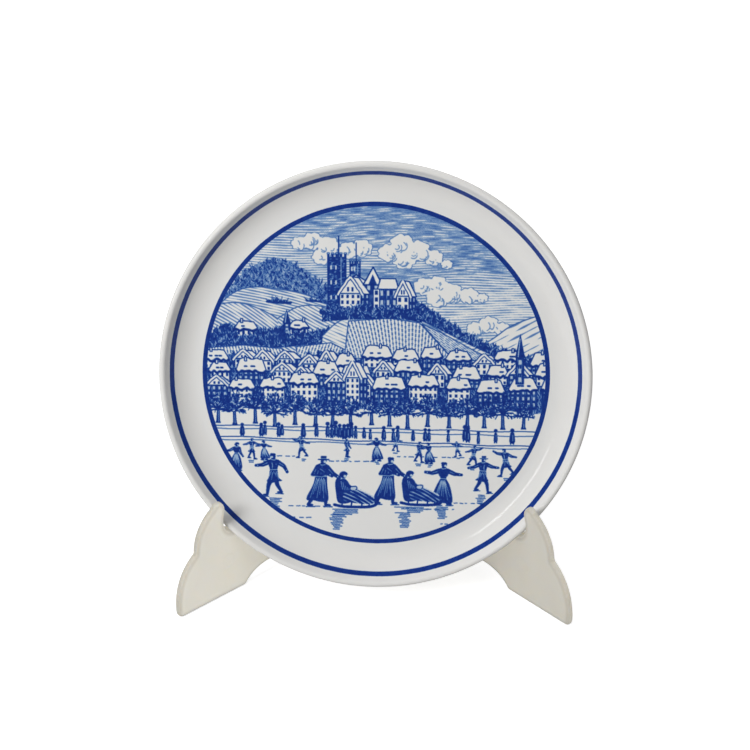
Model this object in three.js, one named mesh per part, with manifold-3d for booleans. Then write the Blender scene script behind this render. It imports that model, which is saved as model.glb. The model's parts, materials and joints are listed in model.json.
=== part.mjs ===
// Souvenir wall plate standing in a folding display stand.
//
// Millimetres, +Z up. The origin lies on the table, in the middle of the space that the whole
// object takes up there. The plate faces -Y and leans back. The stand is two flat wings hinged
// together behind it like a book, and the plate's rim sits in a notch behind each wing's hook.
import * as THREE from 'three';
import { mergeVertices } from 'three/addons/utils/BufferGeometryUtils.js';
import Module from 'manifold-3d';

const wasm = await Module();
wasm.setup();

// ---------------------------------------------------------------- driving dimensions

const DEGREE = Math.PI / 180;

// Plate
const PLATE_RADIUS = 97.5;
const PLATE_LEAN = 19 * DEGREE; // back from upright
const LIP_FORWARD = 43.4; // from the hinge axis to the centre of the lip's crest circle
const LIP_HEIGHT = 102.4; // height of that centre above the table
const WELL_DEPTH = 8.6; // of the flat middle of the front, below the lip's crest
const LIP_THICKNESS = 3.2;
const WELL_THICKNESS = 4.4;
const WALL_CURVE = 17; // radius of the arc that the wall's front follows
const FOOT_OUTER_RADIUS = 58.5;
const FOOT_INNER_RADIUS = 52.5;
const FOOT_DEPTH = 17.6; // bottom of the foot ring, below the lip's crest
const FOOT_EDGE = 1.2; // taper at the bottom of the foot ring
const CORD_HOLE_RADIUS = 1.1;
const CORD_HOLE_SPACING = 24;
const CORD_HOLE_DEPTH = 15.5; // below the lip's crest
const PLATE_SEGMENTS = 84;

// Stand
const HINGE_BEHIND_ORIGIN = 41.7;
const WING_ANGLE = 45 * DEGREE; // between each wing and the plane of symmetry
const WING_THICKNESS = 3.4;
const WING_OFFSET = 0.4; // from the hinge axis to the wing's inner face
const WING_REAR = 5.6; // from the hinge axis to the wing's rear edge
const WING_EDGE_RADIUS = 0.8;
const SUPPORT_GAP = 0.3; // left between the plate and the stand

// Hinge
const BARREL_RADIUS = 4.2;
const BARREL_BOTTOM = 6;
const BARREL_TOP = 126;
const KNUCKLES = 5; // shared in turn by the left wing and the right wing
const KNUCKLE_GAP = 0.5;
const BORE_RADIUS = 1.8;
const PIN_RADIUS = 1.5;
const PIN_HEAD_RADIUS = 3;
const PIN_HEAD_HEIGHT = 1.6;
const PIN_BOTTOM = 7;

// ---------------------------------------------------------------- materials

function material(color, roughness) {
  return new THREE.MeshStandardMaterial({ color, roughness, metalness: 0 });
}

const porcelain = material(0xebe9e4, 0.15);
const leftPlastic = material(0xe2dccd, 0.45);
const rightPlastic = material(0xe2dccd, 0.45);
const pinPlastic = material(0xd9d2c1, 0.4);

// ---------------------------------------------------------------- joining and cutting

function solidFrom(geometry) {
  geometry.deleteAttribute('normal');
  geometry.deleteAttribute('uv');
  const merged = mergeVertices(geometry);
  return new wasm.Manifold(new wasm.Mesh({
    numProp: 3,
    vertProperties: new Float32Array(merged.attributes.position.array),
    triVerts: new Uint32Array(merged.index.array),
  }));
}

function geometryFrom(solid) {
  const mesh = solid.getMesh();
  const geometry = new THREE.BufferGeometry();
  geometry.setAttribute('position', new THREE.BufferAttribute(mesh.vertProperties, 3));
  geometry.setIndex(new THREE.BufferAttribute(mesh.triVerts, 1));
  geometry.computeVertexNormals();
  return geometry;
}

// A cylinder standing on a given height, on the Z axis.
function uprightCylinder(radius, bottom, top, segments = 40) {
  const geometry = new THREE.CylinderGeometry(radius, radius, top - bottom, segments);
  geometry.rotateX(Math.PI / 2);
  geometry.translate(0, 0, (top + bottom) / 2);
  return geometry;
}

// ---------------------------------------------------------------- plate

// The wall curves up from the flat well about a circle that all its layers share.
const WALL_CENTRE_HEIGHT = WALL_CURVE - WELL_DEPTH;
const WALL_MIDDLE_CURVE = WALL_CURVE + LIP_THICKNESS / 2;
const WALL_SWEEP = Math.acos((WALL_CENTRE_HEIGHT + LIP_THICKNESS / 2) / WALL_MIDDLE_CURVE);
const WALL_CENTRE_RADIUS = PLATE_RADIUS - LIP_THICKNESS / 2 - WALL_MIDDLE_CURVE * Math.sin(WALL_SWEEP);

function wallPoint(curve, sweep) {
  return [WALL_CENTRE_RADIUS + curve * Math.sin(sweep), WALL_CENTRE_HEIGHT - curve * Math.cos(sweep)];
}

// Half section of the plate as (radius, height), with the lip's crest at height 0.
function plateProfile() {
  const floor = -(WELL_DEPTH + WELL_THICKNESS);
  const points = [
    [0, floor],
    [FOOT_INNER_RADIUS - 1, floor],
    [FOOT_INNER_RADIUS, floor - 1],
    [FOOT_INNER_RADIUS + FOOT_EDGE / 2, -FOOT_DEPTH + FOOT_EDGE],
    [FOOT_INNER_RADIUS + 2 * FOOT_EDGE, -FOOT_DEPTH],
    [FOOT_OUTER_RADIUS - 2 * FOOT_EDGE, -FOOT_DEPTH],
    [FOOT_OUTER_RADIUS - FOOT_EDGE / 2, -FOOT_DEPTH + FOOT_EDGE],
    [FOOT_OUTER_RADIUS, floor],
  ];

  // Up the back of the wall, which thins towards the lip.
  const wallSteps = 9;
  for (let i = 0; i < wallSteps; i += 1) {
    const thickness = WELL_THICKNESS + (LIP_THICKNESS - WELL_THICKNESS) * (i / wallSteps);
    points.push(wallPoint(WALL_CURVE + thickness, WALL_SWEEP * (i / wallSteps)));
  }

  // Rounded lip: half a circle from the back, round the outermost point and the crest, to the front.
  const [lipRadius, lipHeight] = wallPoint(WALL_MIDDLE_CURVE, WALL_SWEEP);
  const lipSteps = 8;
  for (let i = 0; i <= lipSteps; i += 1) {
    const turn = WALL_SWEEP - Math.PI / 2 + Math.PI * (i / lipSteps);
    points.push([
      lipRadius + (LIP_THICKNESS / 2) * Math.cos(turn),
      lipHeight + (LIP_THICKNESS / 2) * Math.sin(turn),
    ]);
  }

  // Down the front of the wall.
  for (let i = wallSteps - 1; i >= 0; i -= 1) {
    points.push(wallPoint(WALL_CURVE, WALL_SWEEP * (i / wallSteps)));
  }
  points.push([0, -WELL_DEPTH]);
  return points.map(([radius, height]) => new THREE.Vector2(radius, height));
}

function makePlate() {
  let solid = solidFrom(new THREE.LatheGeometry(plateProfile(), PLATE_SEGMENTS));

  // Two holes through the top of the foot ring, for a hanging cord.
  for (const side of [-1, 1]) {
    const drill = uprightCylinder(CORD_HOLE_RADIUS, -FOOT_OUTER_RADIUS - 3, -FOOT_INNER_RADIUS + 8, 16);
    drill.translate(side * CORD_HOLE_SPACING / 2, -CORD_HOLE_DEPTH, 0);
    solid = solid.subtract(solidFrom(drill));
  }

  const plate = new THREE.Mesh(geometryFrom(solid), porcelain);
  plate.name = 'plate';
  plate.position.set(0, HINGE_BEHIND_ORIGIN - LIP_FORWARD, LIP_HEIGHT);
  plate.rotation.x = Math.PI - PLATE_LEAN;
  return plate;
}

// ---------------------------------------------------------------- stand

// Distance from the hinge axis, along a wing, of the plane that the plate's foot ring leans on.
function supportLine(height) {
  const behindLip = (FOOT_DEPTH + SUPPORT_GAP) / Math.cos(PLATE_LEAN);
  const rise = (height - LIP_HEIGHT) * Math.tan(PLATE_LEAN);
  return (LIP_FORWARD - behindLip - rise) / Math.cos(WING_ANGLE) + WING_OFFSET;
}

// Side view of a wing: x runs out from the hinge axis, y is height above the table.
function wingOutline() {
  const top = 153;
  const supportTop = top - 2.5;
  const supportBottom = 58;
  const archHeight = 7;
  const outline = new THREE.Shape();

  // rear foot, arch and front foot
  outline.moveTo(WING_REAR, 0);
  outline.lineTo(21, 0);
  outline.bezierCurveTo(22, 4, 25, archHeight, 30, archHeight);
  outline.lineTo(70, archHeight);
  outline.bezierCurveTo(79.5, archHeight, 84.3, 2.9, 86, 0);
  outline.lineTo(122, 0);

  // toe, then two swelling curves that meet at a waist
  outline.bezierCurveTo(123.8, 0, 124.7, 1, 124.8, 3);
  outline.bezierCurveTo(124.9, 14, 121.2, 23.4, 112.6, 29.6);
  outline.bezierCurveTo(112.1, 37.6, 108.4, 44.4, 101.2, 49.1);

  // hook, with a slightly hanging tip, and the notch behind it
  outline.bezierCurveTo(99.8, 51.6, 96, 52.6, 95, 47.8);
  outline.bezierCurveTo(94.7, 45.6, 96.3, 43.5, 96.3, 40.5);
  outline.bezierCurveTo(96.3, 35.4, 94.4, 32.6, 89.5, 32.5);
  outline.bezierCurveTo(82.5, 31.7, 75.5, 33.7, 72.8, 38.5);

  // under the plate's back, then up the edge that its foot ring leans on
  outline.bezierCurveTo(69, 43, 62.5, 50, supportLine(supportBottom), supportBottom);
  outline.lineTo(supportLine(supportTop), supportTop);
  outline.quadraticCurveTo(supportLine(top), top, supportLine(top) - 1.4, top);
  outline.lineTo(WING_REAR, top);
  return outline;
}

function panel() {
  const geometry = new THREE.ExtrudeGeometry(wingOutline(), {
    depth: WING_THICKNESS - 2 * WING_EDGE_RADIUS,
    curveSegments: 7,
    bevelEnabled: true,
    bevelThickness: WING_EDGE_RADIUS,
    bevelSize: WING_EDGE_RADIUS,
    bevelOffset: -WING_EDGE_RADIUS,
    bevelSegments: 2,
  });
  geometry.translate(0, 0, WING_EDGE_RADIUS);
  return geometry;
}

// A wing along +X, on one side of the XZ plane, with the hinge axis on Z.
// `side` is +1 for the right wing and -1 for the left wing.
function makeWing(side) {
  const isRight = side > 0;
  const body = panel();
  body.rotateX(Math.PI / 2);
  body.translate(0, isRight ? WING_OFFSET + WING_THICKNESS : -WING_OFFSET, 0);
  let solid = solidFrom(body);

  const pitch = (BARREL_TOP - BARREL_BOTTOM) / KNUCKLES;
  for (let i = isRight ? 1 : 0; i < KNUCKLES; i += 2) {
    const bottom = BARREL_BOTTOM + i * pitch + KNUCKLE_GAP / 2;
    const top = BARREL_BOTTOM + (i + 1) * pitch - KNUCKLE_GAP / 2;
    const webLength = WING_REAR + 3;
    const webThickness = WING_THICKNESS - 0.6;
    const web = new THREE.BoxGeometry(webLength, webThickness, top - bottom);
    web.translate(webLength / 2, side * (WING_OFFSET + WING_THICKNESS / 2), (top + bottom) / 2);
    solid = solid
      .add(solidFrom(uprightCylinder(BARREL_RADIUS, bottom, top)))
      .add(solidFrom(web));
  }
  solid = solid.subtract(solidFrom(uprightCylinder(BORE_RADIUS, -1, BARREL_TOP + 1, 24)));

  const wing = new THREE.Mesh(geometryFrom(solid), isRight ? rightPlastic : leftPlastic);
  wing.name = isRight ? 'right_wing' : 'left_wing';
  wing.rotation.z = -Math.PI / 2 + side * WING_ANGLE;
  return wing;
}

function makeHingePin() {
  const headBottom = BARREL_TOP + KNUCKLE_GAP;
  const headTop = headBottom + PIN_HEAD_HEIGHT;
  const profile = [
    [0, PIN_BOTTOM],
    [PIN_RADIUS - 0.5, PIN_BOTTOM],
    [PIN_RADIUS, PIN_BOTTOM + 0.6],
    [PIN_RADIUS, headBottom],
    [PIN_HEAD_RADIUS, headBottom],
    [PIN_HEAD_RADIUS, headTop - 0.6],
    [PIN_HEAD_RADIUS - 0.6, headTop],
    [0, headTop],
  ].map(([radius, height]) => new THREE.Vector2(radius, height));
  const geometry = new THREE.LatheGeometry(profile, 24);
  geometry.rotateX(Math.PI / 2);
  const pin = new THREE.Mesh(geometry, pinPlastic);
  pin.name = 'hinge_pin';
  return pin;
}

// ---------------------------------------------------------------- assembly

const stand = new THREE.Group();
stand.add(makeHingePin(), makeWing(-1), makeWing(1));
stand.position.y = HINGE_BEHIND_ORIGIN;

const souvenirPlate = new THREE.Group();
souvenirPlate.add(stand, makePlate());

export default souvenirPlate;
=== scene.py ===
import json
import math

import bpy
import numpy as np
from mathutils import Matrix, Vector
from mathutils.geometry import delaunay_2d_cdt


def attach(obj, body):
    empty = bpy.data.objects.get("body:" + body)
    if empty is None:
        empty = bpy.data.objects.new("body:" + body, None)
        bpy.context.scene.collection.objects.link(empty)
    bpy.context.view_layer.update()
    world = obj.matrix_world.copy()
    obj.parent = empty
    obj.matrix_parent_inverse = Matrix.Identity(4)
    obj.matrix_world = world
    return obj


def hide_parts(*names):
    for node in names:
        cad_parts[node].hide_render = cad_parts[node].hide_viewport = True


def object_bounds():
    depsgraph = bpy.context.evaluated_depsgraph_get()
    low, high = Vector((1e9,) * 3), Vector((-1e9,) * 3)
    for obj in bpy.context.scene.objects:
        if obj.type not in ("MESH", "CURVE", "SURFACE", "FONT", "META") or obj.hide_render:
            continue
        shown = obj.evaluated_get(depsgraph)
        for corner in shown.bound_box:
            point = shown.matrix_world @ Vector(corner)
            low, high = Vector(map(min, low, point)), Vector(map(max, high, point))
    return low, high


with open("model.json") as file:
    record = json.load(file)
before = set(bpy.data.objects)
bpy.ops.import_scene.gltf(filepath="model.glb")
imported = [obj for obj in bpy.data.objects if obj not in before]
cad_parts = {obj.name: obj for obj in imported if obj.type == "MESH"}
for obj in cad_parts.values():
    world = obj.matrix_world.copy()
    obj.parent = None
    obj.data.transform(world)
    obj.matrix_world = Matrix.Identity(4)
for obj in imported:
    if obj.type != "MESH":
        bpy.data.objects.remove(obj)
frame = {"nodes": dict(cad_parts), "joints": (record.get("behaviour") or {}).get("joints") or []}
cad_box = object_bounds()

MM = 0.001

# ---------------------------------------------------------------- sizes shared with the CAD

PLATE_LEAN = math.radians(19)
WELL_DEPTH = 8.6
LIP_THICKNESS = 3.2
WELL_THICKNESS = 4.4
WALL_CURVE = 17.0  # radius of the arc that the wall's front follows
FOOT_OUTER_RADIUS = 58.5
FOOT_INNER_RADIUS = 52.5
FOOT_DEPTH = 17.6
FOOT_EDGE = 1.2
CORD_HOLE_RADIUS = 1.1
CORD_HOLE_SPACING = 24.0
CORD_HOLE_DEPTH = 15.5

WING_ANGLE = math.radians(45)
WING_THICKNESS = 3.4
WING_OFFSET = 0.4
WING_REAR = 5.6
SUPPORT_GAP = 0.3

BARREL_RADIUS = 4.2
BARREL_BOTTOM = 6.0
BARREL_TOP = 126.0
KNUCKLES = 5
KNUCKLE_GAP = 0.5
BORE_RADIUS = 1.8
PIN_RADIUS = 1.5
PIN_HEAD_RADIUS = 3.0
PIN_HEAD_HEIGHT = 1.6
PIN_BOTTOM = 7.0


def widest_point(node, side):
    """The node's outermost vertex to the left, -1, or to the right, 1, in millimetres."""
    places = [vertex.co for vertex in frame["nodes"][node].data.vertices]
    return max(places, key=lambda place: side * place.x) / MM


# The plate's widest circle lies half the lip's thickness behind the crest, whose plane has height 0.
rim_left, rim_right = widest_point("plate", -1), widest_point("plate", 1)
PLATE_RADIUS = (rim_right.x - rim_left.x) / 2
PLATE_RIGHT = Vector((1, 0, 0))
PLATE_UP = Vector((0, math.sin(PLATE_LEAN), math.cos(PLATE_LEAN)))
PLATE_OUT = Vector((0, -math.cos(PLATE_LEAN), math.sin(PLATE_LEAN)))
PLATE_CENTRE = (rim_left + rim_right) / 2 + PLATE_OUT * (LIP_THICKNESS / 2)

fold = next(joint for joint in frame["joints"] if joint["name"] == "left_wing_fold")
HINGE = Vector(fold["pos_m"]) / MM
LIP_FORWARD = HINGE.y - PLATE_CENTRE.y
LIP_HEIGHT = PLATE_CENTRE.z

# The wall curves up from the flat well about a circle that all its layers share.
WALL_CENTRE_HEIGHT = WALL_CURVE - WELL_DEPTH
WALL_MIDDLE_CURVE = WALL_CURVE + LIP_THICKNESS / 2
WALL_SWEEP = math.acos((WALL_CENTRE_HEIGHT + LIP_THICKNESS / 2) / WALL_MIDDLE_CURVE)
WALL_CENTRE_RADIUS = PLATE_RADIUS - LIP_THICKNESS / 2 - WALL_MIDDLE_CURVE * math.sin(WALL_SWEEP)

# ---------------------------------------------------------------- sizes of the visual model only

PRINT_RADIUS = 77.2  # of the printed scene
PRINT_PITCH = 0.1  # of the cells it is drawn in
INNER_BAND = (77.75, 1.0)  # middle radius and half width of the blue band round the scene
OUTER_BAND = (91.95, 0.87)
PRINT_MESH_RADIUS = 77.4
PRINT_MESH_RINGS = 272
PLATE_SEGMENTS = 408
PLATE_ROUNDING = 0.42  # how far the glaze softens each corner of the section
PANEL_EDGE_RADIUS = 1.35
NOTCH = (90.0, 38.0)  # where the plate's rim sits, and the wing's edges stay crisper
NOTCH_EDGE_RADIUS = 0.45
NOTCH_BED = (87.0, 91.5)  # the stretch of the notch's bed under the rim
NOTCH_BED_HEIGHT = 33.5
NOTCH_BED_RISE = 3.0
PANEL_BORDER = 2.6
PANEL_RECESS = 0.14
PANEL_STEP = 0.7  # between the points along a panel's outline
PANEL_GRID = (2.6, 2.25)  # between the points over its face, along and up
EJECTOR_MARKS = ((95.5, 18.5), (36.0, 30.0), (28.0, 118.0))
EJECTOR_RADIUS = 4.0
MOULDED_EDGE = 0.35  # chamfer at the ends of a knuckle
KNUCKLE_SIDES = 64
CORD_HOLE_SIDES = 32
FLOOR_GAP = 0.2
FLOOR_REACH = 4.0  # from the middle to each side, in metres

# ---------------------------------------------------------------- colours, light and camera

INK_PASSES = (0.0045, 0.033, 0.285)  # share of red, green and blue light that full ink lets back
PLASTIC_DEEP = (0.74, 0.72, 0.655)
PLASTIC_PALE = (0.83, 0.81, 0.755)
PLASTIC_WARM = (0.80, 0.765, 0.68)
# the darker colour that paints shade onto the wings' rounded edges
PAINTED_EDGE_SHADE = (0.51, 0.48, 0.41)

SKY_AT_HORIZON = 0.10
SKY_OVERHEAD = 0.62
REFLECTED_ROOM = 0.14
FLOOR_GLOW = 0.76  # light that the floor adds on its way to the camera, so that it reads as white

# Azimuth, elevation, distance, width, height and power of each light: degrees, metres and watts.
KEY_WINDOW = (-42, 36, 1.5, 0.45, 0.75, 16.5)
GLINT_WINDOW = (-27, 25, 1.5, 0.09, 0.55, 1.0)
STAND_KEY = (-55, 30, 1.4, 0.8, 0.8, 8.2)
STAND_FILL = (55, 24, 1.4, 0.8, 0.8, 7.0)
LEFT_FILL = (55, 24, 1.4, 0.8, 0.8, 4.2)
BACK_FILL = (165, 40, 1.5, 0.9, 0.9, 9.0)

CAMERA_LENS = 83.94
CAMERA_SENSOR = 36.0
CAMERA_CLIP = (0.05, 50.0)  # metres
CAMERA_DISTANCE = 762.2
CAMERA_AZIMUTH = 4.23
CAMERA_ELEVATION = 30.16
CAMERA_AIM = (1.76, -18.3, 114.5)
CAMERA_ROLL = -1.43


# ---------------------------------------------------------------- meshes


def new_piece(name, points, faces, body, node):
    """A piece made from points in millimetres, in place of one CAD node."""
    mesh = bpy.data.meshes.new(name)
    points = np.asarray(points, np.float64) * MM
    faces = np.asarray(faces, np.int32)
    mesh.vertices.add(len(points))
    mesh.vertices.foreach_set("co", points.astype(np.float32).ravel())
    mesh.loops.add(faces.size)
    mesh.loops.foreach_set("vertex_index", faces.ravel())
    mesh.polygons.add(len(faces))
    mesh.polygons.foreach_set("loop_start", np.arange(0, faces.size, faces.shape[1], dtype=np.int32))
    mesh.update(calc_edges=True)
    mesh.validate()
    piece = bpy.data.objects.new(name, mesh)
    bpy.context.scene.collection.objects.link(piece)
    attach(piece, body)
    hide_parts(node)
    return piece


def tool_mesh(name, points, faces):
    """A helper solid for a cut or a join, in millimetres. It is removed again afterwards."""
    mesh = bpy.data.meshes.new(name)
    mesh.from_pydata([Vector(point) * MM for point in points], [], [list(face) for face in faces])
    tool = bpy.data.objects.new(name, mesh)
    bpy.context.scene.collection.objects.link(tool)
    return tool


def combine(piece, tools, operation):
    """Cuts the tools out of a piece or joins them to it, and removes them."""
    for tool in tools:
        step = piece.modifiers.new(operation, "BOOLEAN")
        step.operation = operation
        step.solver = "MANIFOLD"
        step.object = tool
    graph = bpy.context.evaluated_depsgraph_get()
    made = bpy.data.meshes.new_from_object(piece.evaluated_get(graph), depsgraph=graph)
    piece.modifiers.clear()
    old = piece.data
    piece.data = made
    made.name = piece.name
    made.materials.clear()
    bpy.data.meshes.remove(old)
    for tool in tools:
        bpy.data.objects.remove(tool)


def vertex_places(piece):
    """A piece's vertices in millimetres, as an array."""
    places = np.zeros(len(piece.data.vertices) * 3, np.float32)
    piece.data.vertices.foreach_get("co", places)
    return places.reshape(-1, 3).astype(float) / MM


def shade_smooth(piece, angle):
    """Smooth shading, with an edge left sharp where the surface turns by more than angle."""
    mesh = piece.data
    mesh.polygons.foreach_set("use_smooth", np.ones(len(mesh.polygons), bool))
    mesh.set_sharp_from_angle(angle=math.radians(angle))


def point_values(piece, name, values):
    """Stores one number per vertex for the material to read."""
    attribute = piece.data.attributes.new(name, "FLOAT", "POINT")
    attribute.data.foreach_set("value", np.asarray(values, np.float32))


def bridge(first_start, first_count, second_start, second_count):
    """Triangles between two rings of any counts, both with evenly spaced points from the same angle. A
    ring of one point is an end of the axis."""
    steps = np.concatenate([
        (np.arange(first_count) + 0.5) / first_count,
        (np.arange(second_count) + 0.5) / second_count + 1e-9,
    ])
    on_second = np.concatenate([np.zeros(first_count, bool), np.ones(second_count, bool)])
    on_second = on_second[np.argsort(steps, kind="stable")]
    second_at = np.cumsum(on_second) - on_second
    first_at = np.cumsum(~on_second) - ~on_second
    first = first_start + first_at % first_count
    second = second_start + second_at % second_count
    first_next = first_start + (first_at + 1) % first_count
    second_next = second_start + (second_at + 1) % second_count
    faces = np.stack([first, second, np.where(on_second, second_next, first_next)], axis=1)
    stays = np.where(on_second, second_count == 1, first_count == 1)
    return faces[~stays]


def turned_body(rings):
    """Points and triangles of a body of revolution, from (radius, height, count) rings that run from
    one end of the axis to the other. Seen from above, the rings run outwards and then under."""
    points, faces, start = [], [], 0
    for index, (radius, height, count) in enumerate(rings):
        turn = np.arange(count) / count * 2 * math.pi
        ring = [radius * np.cos(turn), radius * np.sin(turn), np.full(count, height)]
        points.append(np.stack(ring, axis=1))
        if index:
            before = rings[index - 1][2]
            faces.append(bridge(start - before, before, start, count))
        start += count
    return np.vstack(points), np.vstack(faces)


def spaced(line, step):
    """A line's points again, evenly spaced about step apart, with both ends kept."""
    line = np.asarray(line, float)
    along = np.concatenate([[0], np.cumsum(np.hypot(*np.diff(line, axis=0).T))])
    even = np.linspace(0, along[-1], max(2, round(along[-1] / step) + 1))
    return np.stack([np.interp(even, along, line[:, axis]) for axis in (0, 1)], axis=1)


def softened(line, reach):
    """An open line with its corners rounded off by a running average about reach wide."""
    step = 0.08
    line = spaced(line, step)
    half = int(3 * reach / step)
    weights = np.exp(-0.5 * (np.arange(-half, half + 1) * step / reach) ** 2)
    weights /= weights.sum()
    start, end = line[0], line[-1]
    padded = np.vstack([2 * start - line[half:0:-1], line, 2 * end - line[-2:-half - 2:-1]])
    return np.stack([np.convolve(padded[:, axis], weights, "valid") for axis in (0, 1)], axis=1)


def thinned(line, most_turn, most_length):
    """Only the points a line needs: one for each bit of turn or of length."""
    kept, turned, length = [line[0]], 0.0, 0.0
    for before, here, after in zip(line, line[1:], line[2:]):
        step, follow = here - before, after - here
        turned += abs(math.atan2(step[0] * follow[1] - step[1] * follow[0], step @ follow))
        length += math.hypot(*step)
        if turned > most_turn or length > most_length:
            kept.append(here)
            turned, length = 0.0, 0.0
    return np.array(kept + [line[-1]])


# ---------------------------------------------------------------- the print: a sheet of ink


def crossings(outline, rows):
    """Which sides of a closed outline cross each row, and where along the row they do."""
    start, end = outline, np.roll(outline, -1, axis=0)
    crossed = (start[:, 1] <= rows) != (end[:, 1] <= rows)
    rise = np.where(crossed, end[:, 1] - start[:, 1], 1.0)
    return crossed, start[:, 0] + (rows - start[:, 1]) / rise * (end[:, 0] - start[:, 0])


class Sheet:
    """Ink from 0, bare, to 1, full. Places are millimetres from the plate's middle, x right and y up."""

    def __init__(self, reach, pitch):
        self.reach = reach
        self.pitch = pitch
        self.count = 2 * math.ceil(reach / pitch)
        middles = (np.arange(self.count) + 0.5) * pitch - reach
        self.x, self.y = np.meshgrid(middles, middles)
        self.ink = np.zeros((self.count, self.count), np.float32)

    def places(self, region):
        """The places of a region's cells, as x and y."""
        window, _ = region
        return self.x[window], self.y[window]

    def cells(self, places):
        return np.floor((np.asarray(places, float) + self.reach) / self.pitch).astype(int)

    def inside(self, outline):
        """A closed outline's window on the sheet, and which of its cells lie inside the outline. Each
        row of cells is followed from its left end, turning on and off where the outline crosses it."""
        corners = (np.asarray(outline, float) + self.reach) / self.pitch - 0.5
        low = np.clip(np.floor(corners.min(axis=0)), 0, self.count - 1).astype(int)
        high = np.clip(np.ceil(corners.max(axis=0)), 0, self.count - 1).astype(int) + 1
        rows = np.arange(low[1], high[1])[:, None]
        crossed, column = crossings(corners, rows)
        column = np.clip(np.ceil(column), low[0], high[0]).astype(int) - low[0]
        turns = np.zeros((len(rows), high[0] - low[0] + 1), np.int32)
        row_of = np.broadcast_to(rows - low[1], crossed.shape)
        np.add.at(turns, (row_of[crossed], column[crossed]), 1)
        window = (slice(low[1], high[1]), slice(low[0], high[0]))
        return window, np.cumsum(turns[:, :-1], axis=1) % 2 == 1

    def fill(self, outline, ink=1.0, edge=0.0, edge_ink=1.0):
        """Inks a closed outline, and draws its edge if it has one."""
        window, mask = self.inside(outline)
        self.ink[window][mask] = ink
        if edge:
            self.edge(outline, edge, edge_ink)
        return window, mask

    def strokes(self, starts, ends, width, ink=1.0, taper=0.0):
        """One straight stroke or many at once. With taper 1, each one ends in a point."""
        starts, ends = np.atleast_2d(starts).astype(float), np.atleast_2d(ends).astype(float)
        along = ends - starts
        length = np.maximum(np.hypot(along[:, 0], along[:, 1]), 1e-6)
        step = 0.7 * self.pitch
        share = np.linspace(0, 1, max(2, int(length.max() / step) + 2))
        across = np.stack([-along[:, 1], along[:, 0]], axis=1) / length[:, None]
        sides = np.linspace(-width / 2, width / 2, max(1, int(width / step) + 1))
        reach = sides[None, :] * (1 - taper * share[:, None])
        middles = starts[:, None, None] + along[:, None, None] * share[None, :, None, None]
        cells = self.cells(middles + across[:, None, None] * reach[None, :, :, None]).reshape(-1, 2)
        cells = cells[((cells >= 0) & (cells < self.count)).all(axis=1)]
        self.ink[cells[:, 1], cells[:, 0]] = ink

    def path(self, points, width, ink=1.0):
        points = np.asarray(points, float)
        self.strokes(points[:-1], points[1:], width, ink)

    def edge(self, outline, width, ink=1.0):
        self.path([*outline, outline[0]], width, ink)

    def ruled(self, region, level, along, cover, ragged, ink, seed):
        """Rules a region with lines where level is a whole number and a half. cover is a line's share of
        its row, and ragged is how much it swells and breaks along its length."""
        row = np.floor(level)
        phase = np.sin(row * 12.9898 + seed) * 437.585 % (2 * math.pi)
        swell = 0.6 * np.sin(along + phase) + 0.4 * np.sin(2.3 * along + 2.1 * phase)
        on_line = np.abs(level - row - 0.5) < 0.5 * (cover + ragged * swell)
        window, mask = region
        self.ink[window][mask & on_line] = ink

    def sampled(self, places):
        """The ink around each place, blurred to the spacing of the plate's points."""
        soft = self.ink.astype(np.float64)
        for axis in (0, 1):
            soft = (np.roll(soft, 1, axis) + soft + np.roll(soft, -1, axis)) / 3
        cell = np.clip((places + self.reach) / self.pitch - 0.5, 0, self.count - 1.001)
        low = np.floor(cell).astype(int)
        part_x, part_y = (cell - low).T
        column, row = low.T
        lower = soft[row, column] * (1 - part_x) + soft[row, column + 1] * part_x
        upper = soft[row + 1, column] * (1 - part_x) + soft[row + 1, column + 1] * part_x
        return lower * (1 - part_y) + upper * part_y


def smooth_line(points, per_span=8, closed=False):
    """A smooth line through a few points."""
    points = np.asarray(points, float)
    if closed:
        points = np.vstack([points[-1], points, points[:2]])
    else:
        points = np.vstack([2 * points[0] - points[1], points, 2 * points[-1] - points[-2]])
    share = np.linspace(0, 1, per_span, endpoint=False)[:, None]
    line = []
    for before, start, end, after in zip(points, points[1:], points[2:], points[3:]):
        line.append(
            0.5 * (
                2 * start + (end - before) * share
                + (2 * before - 5 * start + 4 * end - after) * share ** 2
                + (3 * start - before - 3 * end + after) * share ** 3
            )
        )
    line = np.vstack(line)
    return line if closed else np.vstack([line, points[-2]])


def arc(middle, radius, turn):
    """Points at the angles in turn. The radius is a number, one for each axis or one for each angle."""
    return middle + radius * np.stack([np.cos(turn), np.sin(turn)], axis=1)


def disc(x, y, radius, points=24):
    return arc((x, y), radius, np.linspace(0, 2 * math.pi, points, endpoint=False))


def box(x, y, width, height):
    return [(x, y), (x + width, y), (x + width, y + height), (x, y + height)]


def limb(start, end, start_radius, end_radius):
    """Outline of a tapered limb with round ends."""
    start, end = np.array(start, float), np.array(end, float)
    angle = math.atan2(*(end - start)[::-1])
    turn = np.linspace(-math.pi / 2, math.pi / 2, 7)
    return np.vstack([arc(end, end_radius, angle + turn), arc(start, start_radius, angle + (turn + math.pi))])


# ---------------------------------------------------------------- the print: sky and land


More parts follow.
